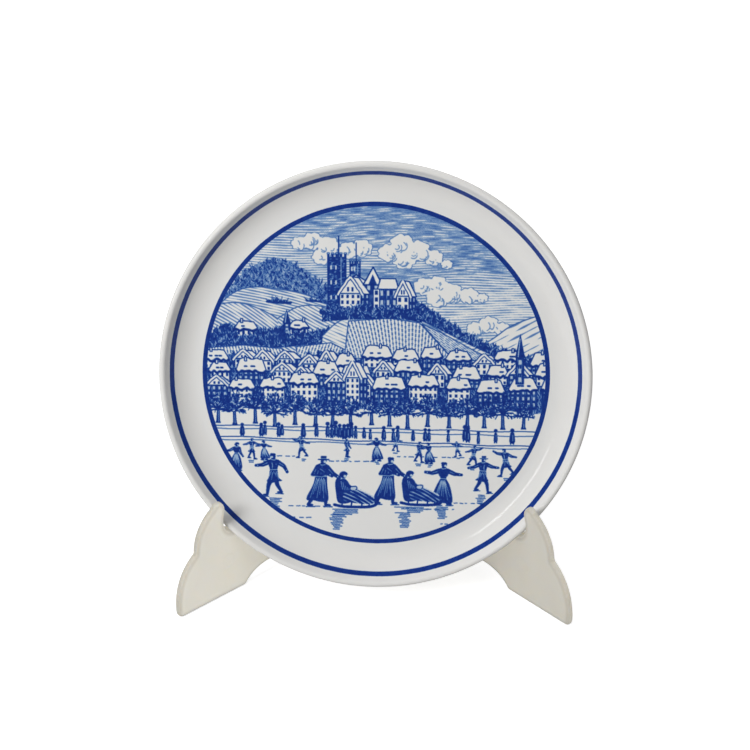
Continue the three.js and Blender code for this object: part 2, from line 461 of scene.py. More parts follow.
def draw_sky(sheet):
    """Long level strokes, heaviest towards the top, that thin out and break over the horizon."""
    x, y = sheet.x, sheet.y
    drift = 0.9 * np.sin(x / 23 + y / 17) + 0.35 * np.sin(x / 9 - y / 6 + 2)
    patches = 0.5 * np.sin(x / 19 + 1) * np.sin(y / 5.5 + x / 40) + 0.5 * np.sin(x / 31 - y / 9)
    height = np.clip((y - 15) / 60, 0, 1)
    cover = 0.3 + 0.3 * height + 0.14 * patches
    everywhere = (slice(None), slice(None))
    level = (y + drift) / 1.12
    sheet.ruled((everywhere, y > 4), level, x / 4.3, cover, 0.28, 0.33, seed=1.0)
    dark = (y + 0.25 * x > 58 + 3 * np.sin(x / 7)) | (patches * height > 0.33)
    sheet.ruled((everywhere, dark), level + 0.5, x / 3.1, 0.16, 0.3, 0.5, seed=5.0)


def draw_cloud(sheet, lobes, rng):
    """A heap of round lobes, outlined together and shaded with short curls."""
    turn = np.linspace(0, 2 * math.pi, 60, endpoint=False)
    scallops = 0.9 + 0.18 * np.abs(np.sin(3.5 * turn + 1)) + 0.1 * np.abs(np.sin(5.5 * turn))
    for inset, ink in ((0.0, 0.5), (0.3, 0.0)):
        for x, y, radius in lobes:
            away = (radius - inset) * np.roll(scallops, int(7 * x))
            sheet.fill(arc((x, y), away[:, None] * (1.0, 0.82), turn), ink)
    for x, y, radius in lobes:
        for _ in range(int(radius * 1.4)):
            size = radius * rng.uniform(0.2, 0.5)
            middle = (x + rng.uniform(-0.5, 0.5) * radius, y - rng.uniform(0.0, 0.6) * radius)
            curl = arc(middle, size, np.linspace(*sorted(rng.uniform(-2.6, 1.2, 2)), 9))
            sheet.path(curl, 0.26, 0.38)


def draw_slope(sheet, ridge, bottom, spacing, tilt, bow, seed, cover=0.34):
    """A snow slope under a ridge line, ruled with bowed furrows that lean by tilt."""
    ridge = smooth_line(ridge)
    region = sheet.fill([*ridge, (ridge[-1][0], bottom), (ridge[0][0], bottom)], 0.0)
    x, y = sheet.places(region)
    middle = (ridge[0][0] + ridge[-1][0]) / 2
    level = (y * math.cos(tilt) - x * math.sin(tilt) + bow * (x - middle) ** 2) / spacing
    along = (x * math.cos(tilt) + y * math.sin(tilt)) / 3.4
    sheet.ruled(region, level, along, cover, 0.24, 0.42, seed)
    sheet.path(ridge, 0.34, 0.62)


def draw_thicket(sheet, rng, top, bottom, tone=0.86, lump=1.7):
    """A band of bare bushes between two lines, lumpy on top, with dark and light twigs."""
    top, bottom = smooth_line(top), smooth_line(bottom)
    covered = np.zeros_like(sheet.ink, bool)
    bushes = [np.vstack([top, bottom[::-1]])]
    bushes += [disc(x, y, rng.uniform(0.6, 1.0) * lump, 12) for x, y in top[::2]]
    for outline in bushes:
        window, mask = sheet.fill(outline, tone)
        covered[window] |= mask
    low, high = bushes[0].min(axis=0) - lump, bushes[0].max(axis=0) + lump
    roots = rng.uniform(low, high, (int((high - low).prod() * 1.9), 2))
    cells = np.clip(sheet.cells(roots), 0, sheet.count - 1)
    roots = roots[covered[cells[:, 1], cells[:, 0]]]
    angle = rng.normal(math.pi / 2, 0.55, len(roots))
    tips = arc(roots, rng.uniform(0.7, 1.9, (len(roots), 1)), angle)
    light = len(roots) // 3
    sheet.strokes(roots[light:], tips[light:], 0.28, taper=0.7)
    sheet.strokes(roots[:light], tips[:light], 0.24, 0.12, taper=0.8)


def draw_vineyard(sheet, outline, spacing, fan, lean, seed):
    """Staked rows that run up a slope as broken lines, fanned about its middle."""
    region = sheet.fill(outline, 0.0)
    middle = np.mean(np.asarray(outline, float), axis=0)
    x, y = sheet.places(region)
    across, up = x - middle[0], y - middle[1]
    level = (across * (1 + fan * up) + lean * up) / spacing
    sheet.ruled(region, level, up * 2.9, 0.3, 0.26, 0.6, seed)
    sheet.edge(outline, 0.3, 0.75)


def draw_land(sheet, rng):
    """Far hills, fields and the castle's hill, from back to front."""
    # the snowy hills at the right, then a wooded one at the left with its fields
    draw_slope(sheet, [(38, 9), (52, 17), (62, 24), (78, 30)], -4, 2.6, 0.5, 0.0, 2.0, cover=0.15)
    draw_thicket(sheet, rng, [(-73, 26), (-62, 44), (-49, 52), (-38, 51), (-27, 44), (-17, 37)],
                 [(-73, 22), (-60, 34), (-44, 38), (-30, 36), (-17, 31)], tone=0.42, lump=1.2)
    for ridge, spacing, tilt, bow, seed in (
        ([(-78, 24), (-66, 36), (-56, 40), (-42, 39), (-28, 36), (-12, 30)], 1.25, -0.22, 0.002, 3.0),
        ([(-78, 30), (-64, 33), (-52, 30), (-40, 23), (-34, 16)], 1.35, -0.6, 0.004, 4.0),
        ([(-44, 26), (-34, 31.5), (-22, 31), (-8, 24)], 1.4, -0.5, -0.003, 6.0),
    ):
        draw_slope(sheet, ridge, 4, spacing, tilt, bow, seed)
    for top, bottom, lump in (
        ([(-49, 33.6), (-44, 34.6), (-38, 33.2)], [(-49, 33), (-44, 32.6), (-38, 32.4)], 0.6),
        ([(-31, 34.3), (-26, 34.6), (-21, 33.2)], [(-31, 33.6), (-26, 33.4), (-21, 32.6)], 0.5),
        ([(-76, 16), (-68, 22), (-60, 19), (-50, 20), (-40, 21), (-30, 18.5), (-18, 22)],
         [(-76, 10), (-60, 13), (-44, 12.5), (-30, 14), (-18, 14)], 1.7),
    ):
        draw_thicket(sheet, rng, top, bottom, lump=lump)
    # the castle's hill, with vineyards and a wood along its right side
    draw_slope(sheet, [(-24, 18), (-16, 25), (-4, 28), (12, 28), (24, 24), (40, 14), (64, 4)],
               -6, 1.5, -0.4, 0.0, 7.0, cover=0.16)
    for outline, spacing, fan, lean, seed in (
        ([(-78, 12), (-60, 13.5), (-42, 12), (-36, 4), (-78, 2)], 1.45, 0.012, 0.3, 1.0),
        ([(-36, 13), (-20, 15), (-12, 11), (-14, 4), (-34, 3)], 1.4, 0.0, -0.35, 2.0),
        ([(-12, 25), (6, 26.5), (20, 24.5), (35, 8), (-14, 8)], 1.5, -0.012, 0.1, 3.0),
        ([(21, 24), (30, 20), (52, 8), (36, 7)], 1.3, 0.0, 1.3, 4.0),
    ):
        draw_vineyard(sheet, outline, spacing, fan, lean, seed)
    draw_thicket(sheet, rng, [(13, 37), (19, 33), (28, 27), (38, 21), (50, 15), (66, 9), (76, 7)],
                 [(13, 27), (22, 25), (32, 20), (44, 14), (58, 8), (76, 3)])


# ---------------------------------------------------------------- the print: buildings


def draw_windows(sheet, x, y, width, height, columns, rows, ink=1.0):
    """Windows in a grid that fills a wall."""
    pitch_x, pitch_y = width / columns, height / rows
    for row in range(rows):
        for column in range(columns):
            left = x + pitch_x * (column + 0.29)
            low = y + pitch_y * (row + 0.22)
            sheet.fill(box(left, low, pitch_x * 0.42, pitch_y * 0.56), ink)


def draw_wall(sheet, x, y, width, height, columns, rows, shaded):
    """A wall that is bare where it is lit, or ruled upright where it is in shade."""
    region = sheet.fill(box(x, y, width, height), 0.92 if shaded else 0.0)
    if shaded:
        across, up = sheet.places(region)
        sheet.ruled(region, across / 0.95, up / 1.1, 0.12, 0.3, 0.25, seed=x)
    draw_windows(sheet, x, y, width, height, columns, rows, 0.1 if shaded else 1.0)
    sheet.edge(box(x, y, width, height), 0.3)


def snow_edge(start, end, droop, rng):
    """The lumpy edge of snow that lies from one place to another, sagging by up to droop."""
    count = max(3, int(math.dist(start, end) / 1.1))
    line = np.linspace(start, end, count)
    line[1:-1, 1] -= droop * rng.uniform(0, 1, count - 2)
    return smooth_line(line, 4)


def draw_side_house(sheet, x, y, width, wall, roof, shaded, rng):
    """A house seen along its eaves: snow on the roof, a few dormers and a chimney."""
    draw_wall(sheet, x, y, width, wall, max(2, round(width / 2.3)), max(1, round(wall / 2.7)), shaded)
    eave = y + wall
    slant = rng.uniform(0.8, 1.8)
    lower = snow_edge((x - 0.8, eave + 0.2), (x + width + 0.8, eave + 0.2), 1.1, rng)
    upper = snow_edge((x + width - slant, eave + roof), (x + slant, eave + roof), -0.7, rng)
    sheet.path(lower - [0, 0.35], 0.9)
    sheet.fill(np.vstack([lower, upper]), 0.0, edge=0.32)
    for _ in range(rng.integers(1, 4)):
        dormer = (x + rng.uniform(0.2, 0.75) * width, eave + roof * 0.35)
        sheet.fill(limb(dormer, (dormer[0] + 0.9, dormer[1]), 0.35, 0.35), 0.95)
    chimney = x + rng.uniform(0.2, 0.8) * width
    sheet.fill(box(chimney, eave + roof * 0.85, 1.0, 1.9), 0.0, edge=0.3)


def draw_gable_house(sheet, x, y, width, wall, roof, shaded, rng):
    """A house seen at its gable, with the side wall behind it in shade."""
    depth = rng.uniform(2.5, 4.5)
    right, eave = x + width, y + wall
    sheet.fill(box(right, y, depth, wall), 0.95, edge=0.3)
    draw_windows(sheet, right, y, depth, wall, 2, max(1, round(wall / 3)), 0.15)
    peak = (x + width / 2, eave + roof)
    side_roof = [peak, (peak[0] + depth, peak[1] - 0.3), (right + depth + 0.5, eave - 0.2),
                 (right + 0.4, eave - 0.2)]
    sheet.fill(side_roof, 0.0, edge=0.34)
    draw_wall(sheet, x, y, width, wall, max(2, round(width / 2.4)), max(1, round(wall / 2.8)), shaded)
    sheet.fill([(x, eave), (right, eave), peak], 0.0, edge=0.34)
    draw_windows(sheet, x + width * 0.3, eave + 0.2, width * 0.4, roof * 0.45, 2, 1)
    rakes = np.vstack([snow_edge((x - 0.9, eave - 0.8), peak, -0.5, rng),
                       snow_edge(peak, (right + 0.9, eave - 0.8), -0.5, rng)])
    sheet.path(rakes, 1.5)
    sheet.path(rakes, 0.85, 0.0)


def draw_spire(sheet, x, y, width, wall, spire):
    """A church tower with a tall pointed roof."""
    draw_wall(sheet, x, y, width, wall, 1, 3, True)
    eave = y + wall
    sheet.fill([(x - 0.5, eave), (x + width + 0.5, eave), (x + width / 2, eave + spire)], 0.97)
    sheet.strokes((x + 0.25 * width, eave + 0.4), (x + 0.47 * width, eave + spire * 0.8), 0.35, 0.1)


def draw_keep(sheet, x, y, width, height, rng):
    """A square battlemented tower in dark stone, with snow on the merlons and a bare flagpole."""
    top = y + height
    sheet.fill(box(x, y, width, height), 0.95)
    stones = np.stack([x + rng.uniform(0.4, width - 0.9, 150), y + rng.uniform(0.4, height - 0.5, 150)], 1)
    sheet.strokes(stones, stones + [(0.7, 0.0)], 0.24, 0.35)
    sheet.strokes((x + width * 0.72, y), (x + width * 0.72, top), 0.3, 0.2)
    for row in (0.3, 0.55, 0.8):
        for column in (0.2, 0.45):
            slit = (x + column * width, y + row * height)
            sheet.fill(limb(slit, (slit[0], slit[1] + 1.3), 0.4, 0.4), 0.05)
    merlons = 5
    pitch = width / (2 * merlons - 1)
    for i in range(merlons):
        left = x + 2 * i * pitch
        sheet.fill(box(left, top, pitch, 1.5), 0.95)
        sheet.fill(box(left - 0.1, top + 1.3, pitch + 0.2, 0.55), 0.0, edge=0.2, edge_ink=0.7)
    sheet.strokes((x + width * 0.6, top), (x + width * 0.6, top + 9.5), 0.34)


def draw_castle(sheet, rng):
    """Two keeps behind a range of snow-roofed halls and gables, with bushes below them."""
    draw_keep(sheet, -21.5, 27, 8.6, 27, rng)
    draw_keep(sheet, -11.5, 36, 5.0, 15, rng)
    sheet.fill([(-14, 38), (-3, 38), (-4.6, 43.6), (-8.5, 46), (-12, 44)], 0.0, edge=0.36)
    draw_wall(sheet, -4.5, 27, 6.5, 15, 2, 4, True)
    draw_gable_house(sheet, -16.0, 27, 9.6, 10.5, 7.6, False, rng)
    sheet.fill([(-5.4, 41.5), (3.2, 41.5), (-0.9, 49.6)], 0.0, edge=0.42)
    sheet.fill([(-2.9, 41.8), (0.7, 41.8), (-1.1, 46.2)], 0.95)
    draw_wall(sheet, 1.6, 27, 8.4, 13, 3, 3, True)
    sheet.fill([(1.0, 39.6), (10.6, 39.6), (9.2, 44.4), (2.4, 44.4)], 0.0, edge=0.36)
    draw_wall(sheet, -0.9, 27, 2.9, 12.6, 1, 4, False)
    draw_gable_house(sheet, 9.6, 27, 5.6, 9.5, 7.0, False, rng)
    bushes = [(-24, 29), (-18, 31.5), (-12, 29.8), (-6, 32), (1, 29.8), (8, 31.6), (14, 30), (21, 31)]
    draw_thicket(sheet, rng, bushes, [(-24, 24.6), (-12, 25.6), (0, 26), (12, 26), (21, 24.6)], 0.93, 1.3)


def draw_village_church(sheet, rng):
    draw_side_house(sheet, -63, 17.6, 9, 3.6, 3.0, False, rng)
    draw_side_house(sheet, -38.6, 18.6, 8, 3.2, 3.0, False, rng)
    draw_spire(sheet, -41.4, 18.6, 2.8, 5.0, 6.4)
    draw_thicket(sheet, rng, [(-72, 18.5), (-60, 17.8), (-46, 19), (-33, 18.6), (-24, 19)],
                 [(-72, 13), (-60, 14.5), (-46, 14), (-33, 15), (-24, 15)], lump=1.0)


def draw_town(sheet, rng):
    """Three staggered rows of snow-roofed houses, with bushes in the gaps between them."""
    draw_thicket(sheet, rng, [(-78, 6), (-60, 9), (-40, 7), (-20, 10), (0, 6), (30, 8), (50, 5), (78, 3)],
                 [(-78, -20), (-40, -20), (0, -20), (40, -20), (78, -20)], tone=0.8)
    for ground, widths, walls, roofs in (
        (2.2, (8, 13), (3.4, 5.5), (3.4, 5.4)),
        (-4.4, (8, 14), (4.4, 6.5), (3.6, 5.6)),
        (-13.6, (10, 17), (7.0, 9.5), (3.6, 5.6)),
    ):
        x = -79.0 + rng.uniform(0, 4)
        while x < 76:
            width = rng.uniform(*widths)
            base = ground + rng.uniform(-1.6, 1.8)
            draw_house = draw_side_house
            if rng.random() < 0.36:
                draw_house = draw_gable_house
                width *= 0.62
            wall, roof = rng.uniform(*walls), rng.uniform(*roofs)
            draw_house(sheet, x, base, width, wall, roof, rng.random() < 0.45, rng)
            x += width + rng.uniform(0.6, 4.6)
    draw_gable_house(sheet, -13.5, -14, 6.4, 13.0, 7.4, False, rng)
    draw_spire(sheet, 63.5, -3, 3.4, 12.0, 11.0)


# ---------------------------------------------------------------- the print: quay, trees and people


def draw_bare_tree(sheet, x, y, height, rng):
    """A pollarded tree: a stout trunk, limbs fanned from its head, twigs, and a few gaps of sky."""
    head = np.array([x + rng.uniform(-0.3, 0.3), y + height * 0.4])
    trunk = [(x - 1.25, y), (x + 1.25, y), (x + 0.8, y + 1.2), (head[0] + 0.62, head[1]),
             (head[0] - 0.62, head[1]), (x - 0.8, y + 1.2)]
    sheet.fill(trunk)
    sheet.strokes((x + 0.15, y + 0.6), head, 0.26, 0.2, taper=0.6)
    limbs = rng.integers(15, 18)
    angles = np.linspace(-0.15, math.pi + 0.15, limbs) + rng.normal(0, 0.1, limbs)
    reach = height * rng.uniform(0.24, 0.33, limbs)
    tips = head + np.stack([reach * np.cos(angles), 1.55 * reach * np.sin(angles) + 0.06 * height], axis=1)
    middles = head + 0.5 * (tips - head) + rng.normal(0, 0.25, tips.shape)
    sheet.strokes(np.broadcast_to(head, tips.shape), middles, 0.55, taper=0.3)
    sheet.strokes(middles, tips, 0.4, taper=0.5)
    twigs, gaps = 8, 22
    for angle, middle, tip in zip(angles, middles, tips):
        roots = middle + (tip - middle) * rng.uniform(-0.3, 1.0, (twigs, 1))
        turn = angle + rng.normal(0, 0.55, twigs)
        ends = arc(roots, height * rng.uniform(0.06, 0.12, (twigs, 1)), turn)
        sheet.strokes(roots, ends, 0.28, taper=0.5)
    sky = head + np.array([0, 0.2 * height]) + rng.normal(0, 0.12 * height, (gaps, 2))
    sheet.strokes(sky, sky + rng.normal(0, 0.5, (gaps, 2)), 0.26, 0.0, taper=0.6)


def draw_promenade(sheet, rng):
    """Snow under the trees, the quay's steps, and the row of trees along it."""
    x = np.linspace(-80, 80, 50)
    bank = np.stack([x, -14.2 - 0.012 * x + 0.5 * np.sin(x / 3.1) + 0.4 * np.sin(x / 1.3)], axis=1)
    sheet.fill([*bank, (80, -45), (-80, -45)], 0.0)
    draw_thicket(sheet, rng, bank + [0, 0.5], bank - [0, 1.0], tone=0.6, lump=0.6)
    x = np.linspace(-80, 80, 60)
    steps = ((-24.5, -0.01, 0.8), (-26.2, -0.014, 0.6), (-30.5, -0.02, 0.9), (-31.8, -0.02, 0.6))
    for height, tilt, ink in steps:
        y = height + tilt * x + 0.25 * np.sin(x / 5 + height)
        sheet.path(np.stack([x, y], axis=1), 0.3, ink)
    x = -72.0
    while x < 74:
        draw_bare_tree(sheet, x, -23.6 + rng.uniform(-0.8, 0.8), rng.uniform(13.5, 17.5), rng)
        x += rng.uniform(7.6, 9.8)


class Figure:
    """Draws a figure on the sheet from the point under it, in shares of its height. across runs the way
    it faces, 1 for right and -1 for left, and lean tips it that way."""

    def __init__(self, sheet, x, y, height, facing=1, lean=0.0):
        self.sheet = sheet
        self.x = x
        self.y = y
        self.height = height
        self.facing = facing
        self.lean = lean

    def at(self, across, up):
        """A place on the sheet."""
        return (self.x + self.facing * self.height * (across + self.lean * up), self.y + self.height * up)

    def line(self, places, per_span=8, closed=False):
        """A smooth line through places on the figure."""
        return smooth_line([self.at(*place) for place in places], per_span, closed)

    def form(self, places, per_span=4):
        """Fills a rounded form, and gives its region of the sheet."""
        return self.sheet.fill(self.line(places, per_span, closed=True))

    def limb(self, start, end, start_radius, end_radius):
        """Fills a limb between places on the sheet."""
        self.sheet.fill(limb(start, end, start_radius * self.height, end_radius * self.height))

    def disc(self, place, radius, points, ink=1.0):
        """Fills a disc around a place on the sheet."""
        self.sheet.fill(disc(*place, radius * self.height, points), ink)

    def path(self, places, width, ink=1.0):
        self.sheet.path([self.at(*place) for place in places], width, ink)

    def stroke(self, start, end, width, ink=1.0, taper=0.0):
        self.sheet.strokes(self.at(*start), self.at(*end), width, ink, taper)


def draw_onlooker(sheet, x, y, height, rng):
    """One of the small muffled people along the quay."""
    wide = rng.uniform(0.13, 0.2)
    figure = Figure(sheet, x, y, height)
    figure.limb(figure.at(0, 0.22), figure.at(0, 0.66), wide, wide * 0.72)
    figure.disc(figure.at(0, 0.9), 0.13, 10)
    for leg in (-0.5 * wide, 0.5 * wide):
        figure.stroke((leg, 0), (leg, 0.3), 0.4)
    figure.stroke((0.2 * wide, 0.2), (0.2 * wide, 0.6), 0.24, 0.3)


def draw_onlookers(sheet, rng):
    crowd = np.arange(-22, -7, 1.9)
    places = [-61, -52, -50.4, -44, -42.5, -33, -27, *crowd, -5, -2.5, 4, 8.5, 10.2, 17, 23, 24.6, 33, 40.5,
              42, 47, 55, 62]
    for x in places:
        ground = -29.6 - 0.02 * x + rng.uniform(-0.5, 0.6)
        draw_onlooker(sheet, x + rng.uniform(-0.3, 0.3), ground, rng.uniform(4.6, 7.4), rng)


def draw_head(figure, across, up, radius, hat):
    """A small plain head, with light on the side it faces, under a brimmed hat, a cap or a hood."""
    sheet = figure.sheet
    x, y = figure.at(across, up)
    radius *= figure.height
    sheet.fill(disc(x, y, radius))
    sheet.fill(disc(x + figure.facing * 0.42 * radius, y - 0.25 * radius, 0.52 * radius, 12), 0.1)
    if hat == "brimmed":
        brim = y + 0.5 * radius
        sheet.fill(limb((x - 1.75 * radius, brim), (x + 1.75 * radius, brim), 0.2 * radius, 0.2 * radius))
        sheet.fill(box(x - 0.95 * radius, brim, 1.9 * radius, 1.25 * radius))
        ribbon = y + 0.85 * radius
        sheet.strokes((x - 0.9 * radius, ribbon), (x + 0.9 * radius, ribbon), 0.2, 0.2)
    elif hat == "cap":
        crown = y + 0.7 * radius
        sheet.fill(limb((x - 0.6 * radius, crown), (x + 0.6 * radius, crown), 0.55 * radius, 0.45 * radius))
    else:
        turn = np.linspace(0.1 * math.pi, 1.1 * math.pi, 12)
        rim = arc((x, y), radius * np.array([1.15, 1.1]), turn)
        if figure.facing < 0:
            rim[:, 0] = 2 * x - rim[:, 0]
        sheet.path(rim, 0.5 * radius)


# Half width and height of the hem, half width of the waist, and number of folds, for a height of 1.
DRESSES = {"coat": (0.155, 0.33, 0.082, 5), "skirt": (0.225, 0.075, 0.062, 8), "cloak": (0.2, 0.12, 0.11, 8)}


def draw_legs(figure, stride, lifted):
    """Two legs on skates, the rear foot lifted off the ice."""
    step = figure.facing * figure.height
    for across, up in ((stride, 0.0), (-stride, lifted)):
        knee = figure.at(across * 0.6 + 0.03, 0.24 + up * 0.4)
        foot = figure.at(across, up + 0.028)
        toe = (foot[0] + 0.08 * step, foot[1] - 0.004 * figure.height)
        figure.limb(figure.at(across * 0.2, 0.46), knee, 0.062, 0.043)
        figure.limb(knee, foot, 0.042, 0.026)
        figure.limb(foot, toe, 0.027, 0.018)
        figure.sheet.strokes((foot[0] - 0.04 * step, figure.at(0, up - 0.012)[1]),
                             (toe[0] + 0.05 * step, figure.at(0, up - 0.008)[1]), 0.24)


def draw_dress(figure, dress):
    """The body and skirts of a coat, a long skirt or a caped cloak, with their folds."""
    hem, hem_up, waist, folds = DRESSES[dress]
    figure.form([(-0.115, 0.79), (-0.045, 0.835), (0.05, 0.835), (0.105, 0.785), (0.1, 0.68), (waist, 0.6),
                 (0.6 * hem + 0.02, 0.42), (hem, hem_up), (0.3 * hem, hem_up - 0.03), (-0.4 * hem, hem_up),
                 (-hem - 0.02, hem_up + 0.02), (-0.6 * hem - 0.01, 0.42), (-waist, 0.6), (-0.1, 0.68)])
    figure.stroke((-waist, 0.6), (waist, 0.59), 0.3, 0.2)
    for i in range(folds):
        across = (i + 0.5) / folds * 2 - 1
        top = (across * waist * 0.8, 0.56 - 0.03 * (i % 2))
        figure.stroke(top, (across * hem * 0.86, hem_up + 0.04 + 0.07 * (i % 3)), 0.32, 0.18, taper=0.6)
    if dress == "cloak":
        figure.form([(-0.12, 0.81), (0.0, 0.85), (0.1, 0.8), (0.135, 0.64), (0.02, 0.585), (-0.19, 0.6),
                     (-0.17, 0.7)])
        figure.path([(0.13, 0.63), (0.02, 0.58), (-0.185, 0.595)], 0.3, 0.2)
        for across in (-0.11, -0.06, -0.01, 0.05):
            figure.stroke((across, 0.78), (1.3 * across, 0.63), 0.28, 0.2, taper=0.6)
    if dress == "coat":
        figure.path([(0.05, 0.8), (0.02, 0.7), (0.03, 0.62)], 0.26, 0.15)
        figure.path([(-0.05, 0.8), (-0.06, 0.7)], 0.24, 0.3)


def draw_arm(figure, side, upper, lower):
    """An arm from a shoulder: its two parts hang at angles from straight down."""
    height, facing = figure.height, figure.facing
    shoulder = np.array(figure.at(side, 0.77))
    elbow = shoulder + 0.165 * height * np.array([facing * math.sin(upper), -math.cos(upper)])
    hand = elbow + 0.15 * height * np.array([facing * math.sin(lower), -math.cos(lower)])
    figure.limb(shoulder, elbow, 0.052, 0.042)
    figure.limb(elbow, hand, 0.04, 0.028)
    figure.disc(hand, 0.031, 10)
    figure.sheet.strokes(shoulder * 0.7 + elbow * 0.3, elbow, 0.26, 0.25, taper=0.5)
    figure.disc(elbow * 0.25 + hand * 0.75, 0.016, 8, ink=0.15)


def draw_skater(sheet, x, y, height, facing, stride, lean, arms, dress, hat):
    """Someone in winter dress on skates. Each arm is the angles of its upper and its lower part."""
    figure = Figure(sheet, x, y, height, facing, lean)
    draw_legs(figure, stride, 0.4 * stride if dress == "coat" else 0.0)
    draw_dress(figure, dress)
    for side, (upper, lower) in zip((0.085, -0.09), arms):
        draw_arm(figure, side, upper, lower)
    figure.path([(-0.04, 0.835), (0.045, 0.84)], 0.05 * height)
    figure.path([(-0.05, 0.825), (-0.02, 0.81), (0.05, 0.825)], 0.3, 0.15)
    draw_head(figure, 0.005, 0.895, 0.056, hat)


def draw_rug(figure):
    """A ruled, fringed rug over the passenger's knees."""
    region = figure.form([(0.52, 0.13), (0.55, 0.34), (0.66, 0.36), (0.8, 0.33), (0.95, 0.26), (1.07, 0.2),
                          (1.12, 0.12), (1.04, 0.06), (0.8, 0.07)], 5)
    x, y = figure.sheet.places(region)
    across = x - figure.x
    wave = (0.55 * across * figure.facing + (y - figure.y)) / (0.075 * figure.height)
    level = wave + 0.35 * np.sin(across * 6 / figure.height)
    figure.sheet.ruled(region, level, y, 0.3, 0.22, 0.16, seed=figure.x)
    fringe = figure.line([(0.62, 0.37), (0.8, 0.345), (0.97, 0.265), (1.09, 0.2)])
    for i, place in enumerate(fringe[::2]):
        figure.disc(place, 0.016 + 0.006 * (i % 2), 8, ink=0.08)


def draw_sledge(sheet, x, y, height, facing, hat):
    """A chair sledge with a wrapped-up passenger, pushed by someone in a long cloak."""
    figure = Figure(sheet, x, y, height, facing)
    at = figure.at
    runner = figure.line([(0.34, 0.035), (0.55, 0.0), (0.95, 0.0), (1.12, 0.04), (1.17, 0.12), (1.13, 0.16)])
    for start, end in zip(runner, runner[1:]):
        figure.limb(start, end, 0.026, 0.026)
    for post in (0.48, 0.66, 0.86, 1.0):
        figure.stroke((post, 0.0), (post + 0.02, 0.12), 0.5)
    figure.form([(0.42, 0.08), (0.37, 0.3), (0.36, 0.47), (0.4, 0.56), (0.47, 0.52), (0.5, 0.3), (0.62, 0.16),
                 (0.62, 0.08)], 5)
    draw_rug(figure)
    figure.form([(0.43, 0.3), (0.43, 0.46), (0.48, 0.545), (0.57, 0.53), (0.64, 0.42), (0.66, 0.32),
                 (0.56, 0.27)], 5)
    for i in range(5):
        figure.stroke((0.47 + 0.035 * i, 0.5 - 0.02 * i), (0.5 + 0.035 * i, 0.33), 0.28, 0.2, taper=0.5)
    figure.limb(at(0.55, 0.46), at(0.68, 0.36), 0.036, 0.03)
    muff = limb(at(0.68, 0.36), at(0.74, 0.37), 0.04 * height, 0.036 * height)
    sheet.fill(muff, 0.1)
    sheet.path(muff, 0.28)
    draw_head(figure, 0.52, 0.615, 0.058, "hood")
    draw_skater(sheet, x, y, height, facing, 0.17, 0.15, ((0.75, 1.0), (0.95, 1.1)), "cloak", hat)


def draw_reflection(sheet, x, y, width, height, rng):
    """Broken level strokes on the ice below a figure."""
    rows = int(height / 0.75)
    for i in range(rows):
        half = width / 2 * (1 - 0.5 * i / rows) * rng.uniform(0.55, 1.05)
        middle = x + rng.uniform(-0.12, 0.12) * width
        sheet.strokes((middle - half, y - 0.75 * i), (middle + half, y - 0.75 * i - 0.1), 0.32, 0.68)


def draw_ice_line(sheet, x, y, length, rng):
    """A long scratch on the ice, broken into dashes."""
    end = x + length
    while x < end:
        dash = rng.uniform(0.8, 2.6)
        sheet.strokes((x, y), (x + dash, y + rng.uniform(-0.15, 0.15)), 0.3, 0.7)
        x += dash + rng.uniform(0.7, 2.2)


def draw_ice(sheet, rng):
    """Far skaters small, then near ones, with the two chair sledges in front."""
    for x, y, length in ((-24, -40, 22), (10, -37.5, 30), (-52, -38, 14), (-40, -61.5, 17), (12, -62, 24),
                         (36, -59, 20), (-46, -67, 16), (30, -69, 12)):
        draw_ice_line(sheet, x, y, length, rng)
    ahead, raised, back, hanging = (1.15, 1.45), (1.7, 2.1), (-1.1, -1.4), (0.25, 0.6)
    far = [
        (-57, -39.5, 10, 1, 0.14, 0.05, (ahead, back)),
        (-50.5, -39.8, 9.2, -1, 0.1, 0.1, (ahead, back)),
        (-33, -38.5, 10, -1, 0.2, 0.14, (raised, back)),
        (-13, -38, 8.6, 1, 0.05, 0.0, (hanging, hanging)),
        (1, -39.5, 11, -1, 0.12, 0.05, (ahead, back)),
        (9, -35, 7, 1, 0.16, 0.1, (ahead, back)),
        (19.5, -40, 10, 1, 0.16, 0.1, (ahead, hanging)),
        (25, -40.5, 10, -1, 0.1, 0.1, (ahead, hanging)),
        (38, -37, 7, -1, 0.16, 0.15, (raised, back)),
        (44, -41.5, 10, 1, 0.2, 0.15, (raised, back)),
    ]
    for i, (x, y, height, facing, stride, lean, arms) in enumerate(far):
        dress = ("coat", "skirt", "coat")[i % 3]
        hat = ("cap", "hood", "brimmed")[i % 3]
        draw_skater(sheet, x, y, height, facing, stride, lean, arms, dress, hat)
        draw_reflection(sheet, x, y - 0.8, height * 0.28, height * 0.2, rng)
    near = [
        (-64.5, -45, 13.5, 1, 0.1, 0.08, (hanging, back), "skirt", "hood"),
        (60.5, -46, 13.5, -1, 0.22, 0.15, (raised, back), "coat", "cap"),
        (-46.5, -57, 21, -1, 0.16, 0.02, (ahead, (-1.0, -0.5)), "coat", "cap"),
        (48.5, -54, 17.5, 1, 0.17, 0.06, (ahead, back), "coat", "brimmed"),
        (30.5, -60, 21, 1, 0.12, 0.05, (ahead, (-1.25, -1.7)), "skirt", "cap"),
    ]
    for x, y, height, *manner in near:
        draw_reflection(sheet, x, y - 1.0, height * 0.3, height * 0.32, rng)
        draw_skater(sheet, x, y, height, *manner)
    for x, y, height, hat in ((-27, -61.5, 24, "brimmed"), (4, -60, 23, "cap")):
        draw_reflection(sheet, x + 0.55 * height, y - 1.3, height * 0.62, height * 0.14, rng)
        draw_reflection(sheet, x + 0.4 * height, y - 4.0, height * 0.3, height * 0.34, rng)
        draw_sledge(sheet, x, y, height, 1, hat)


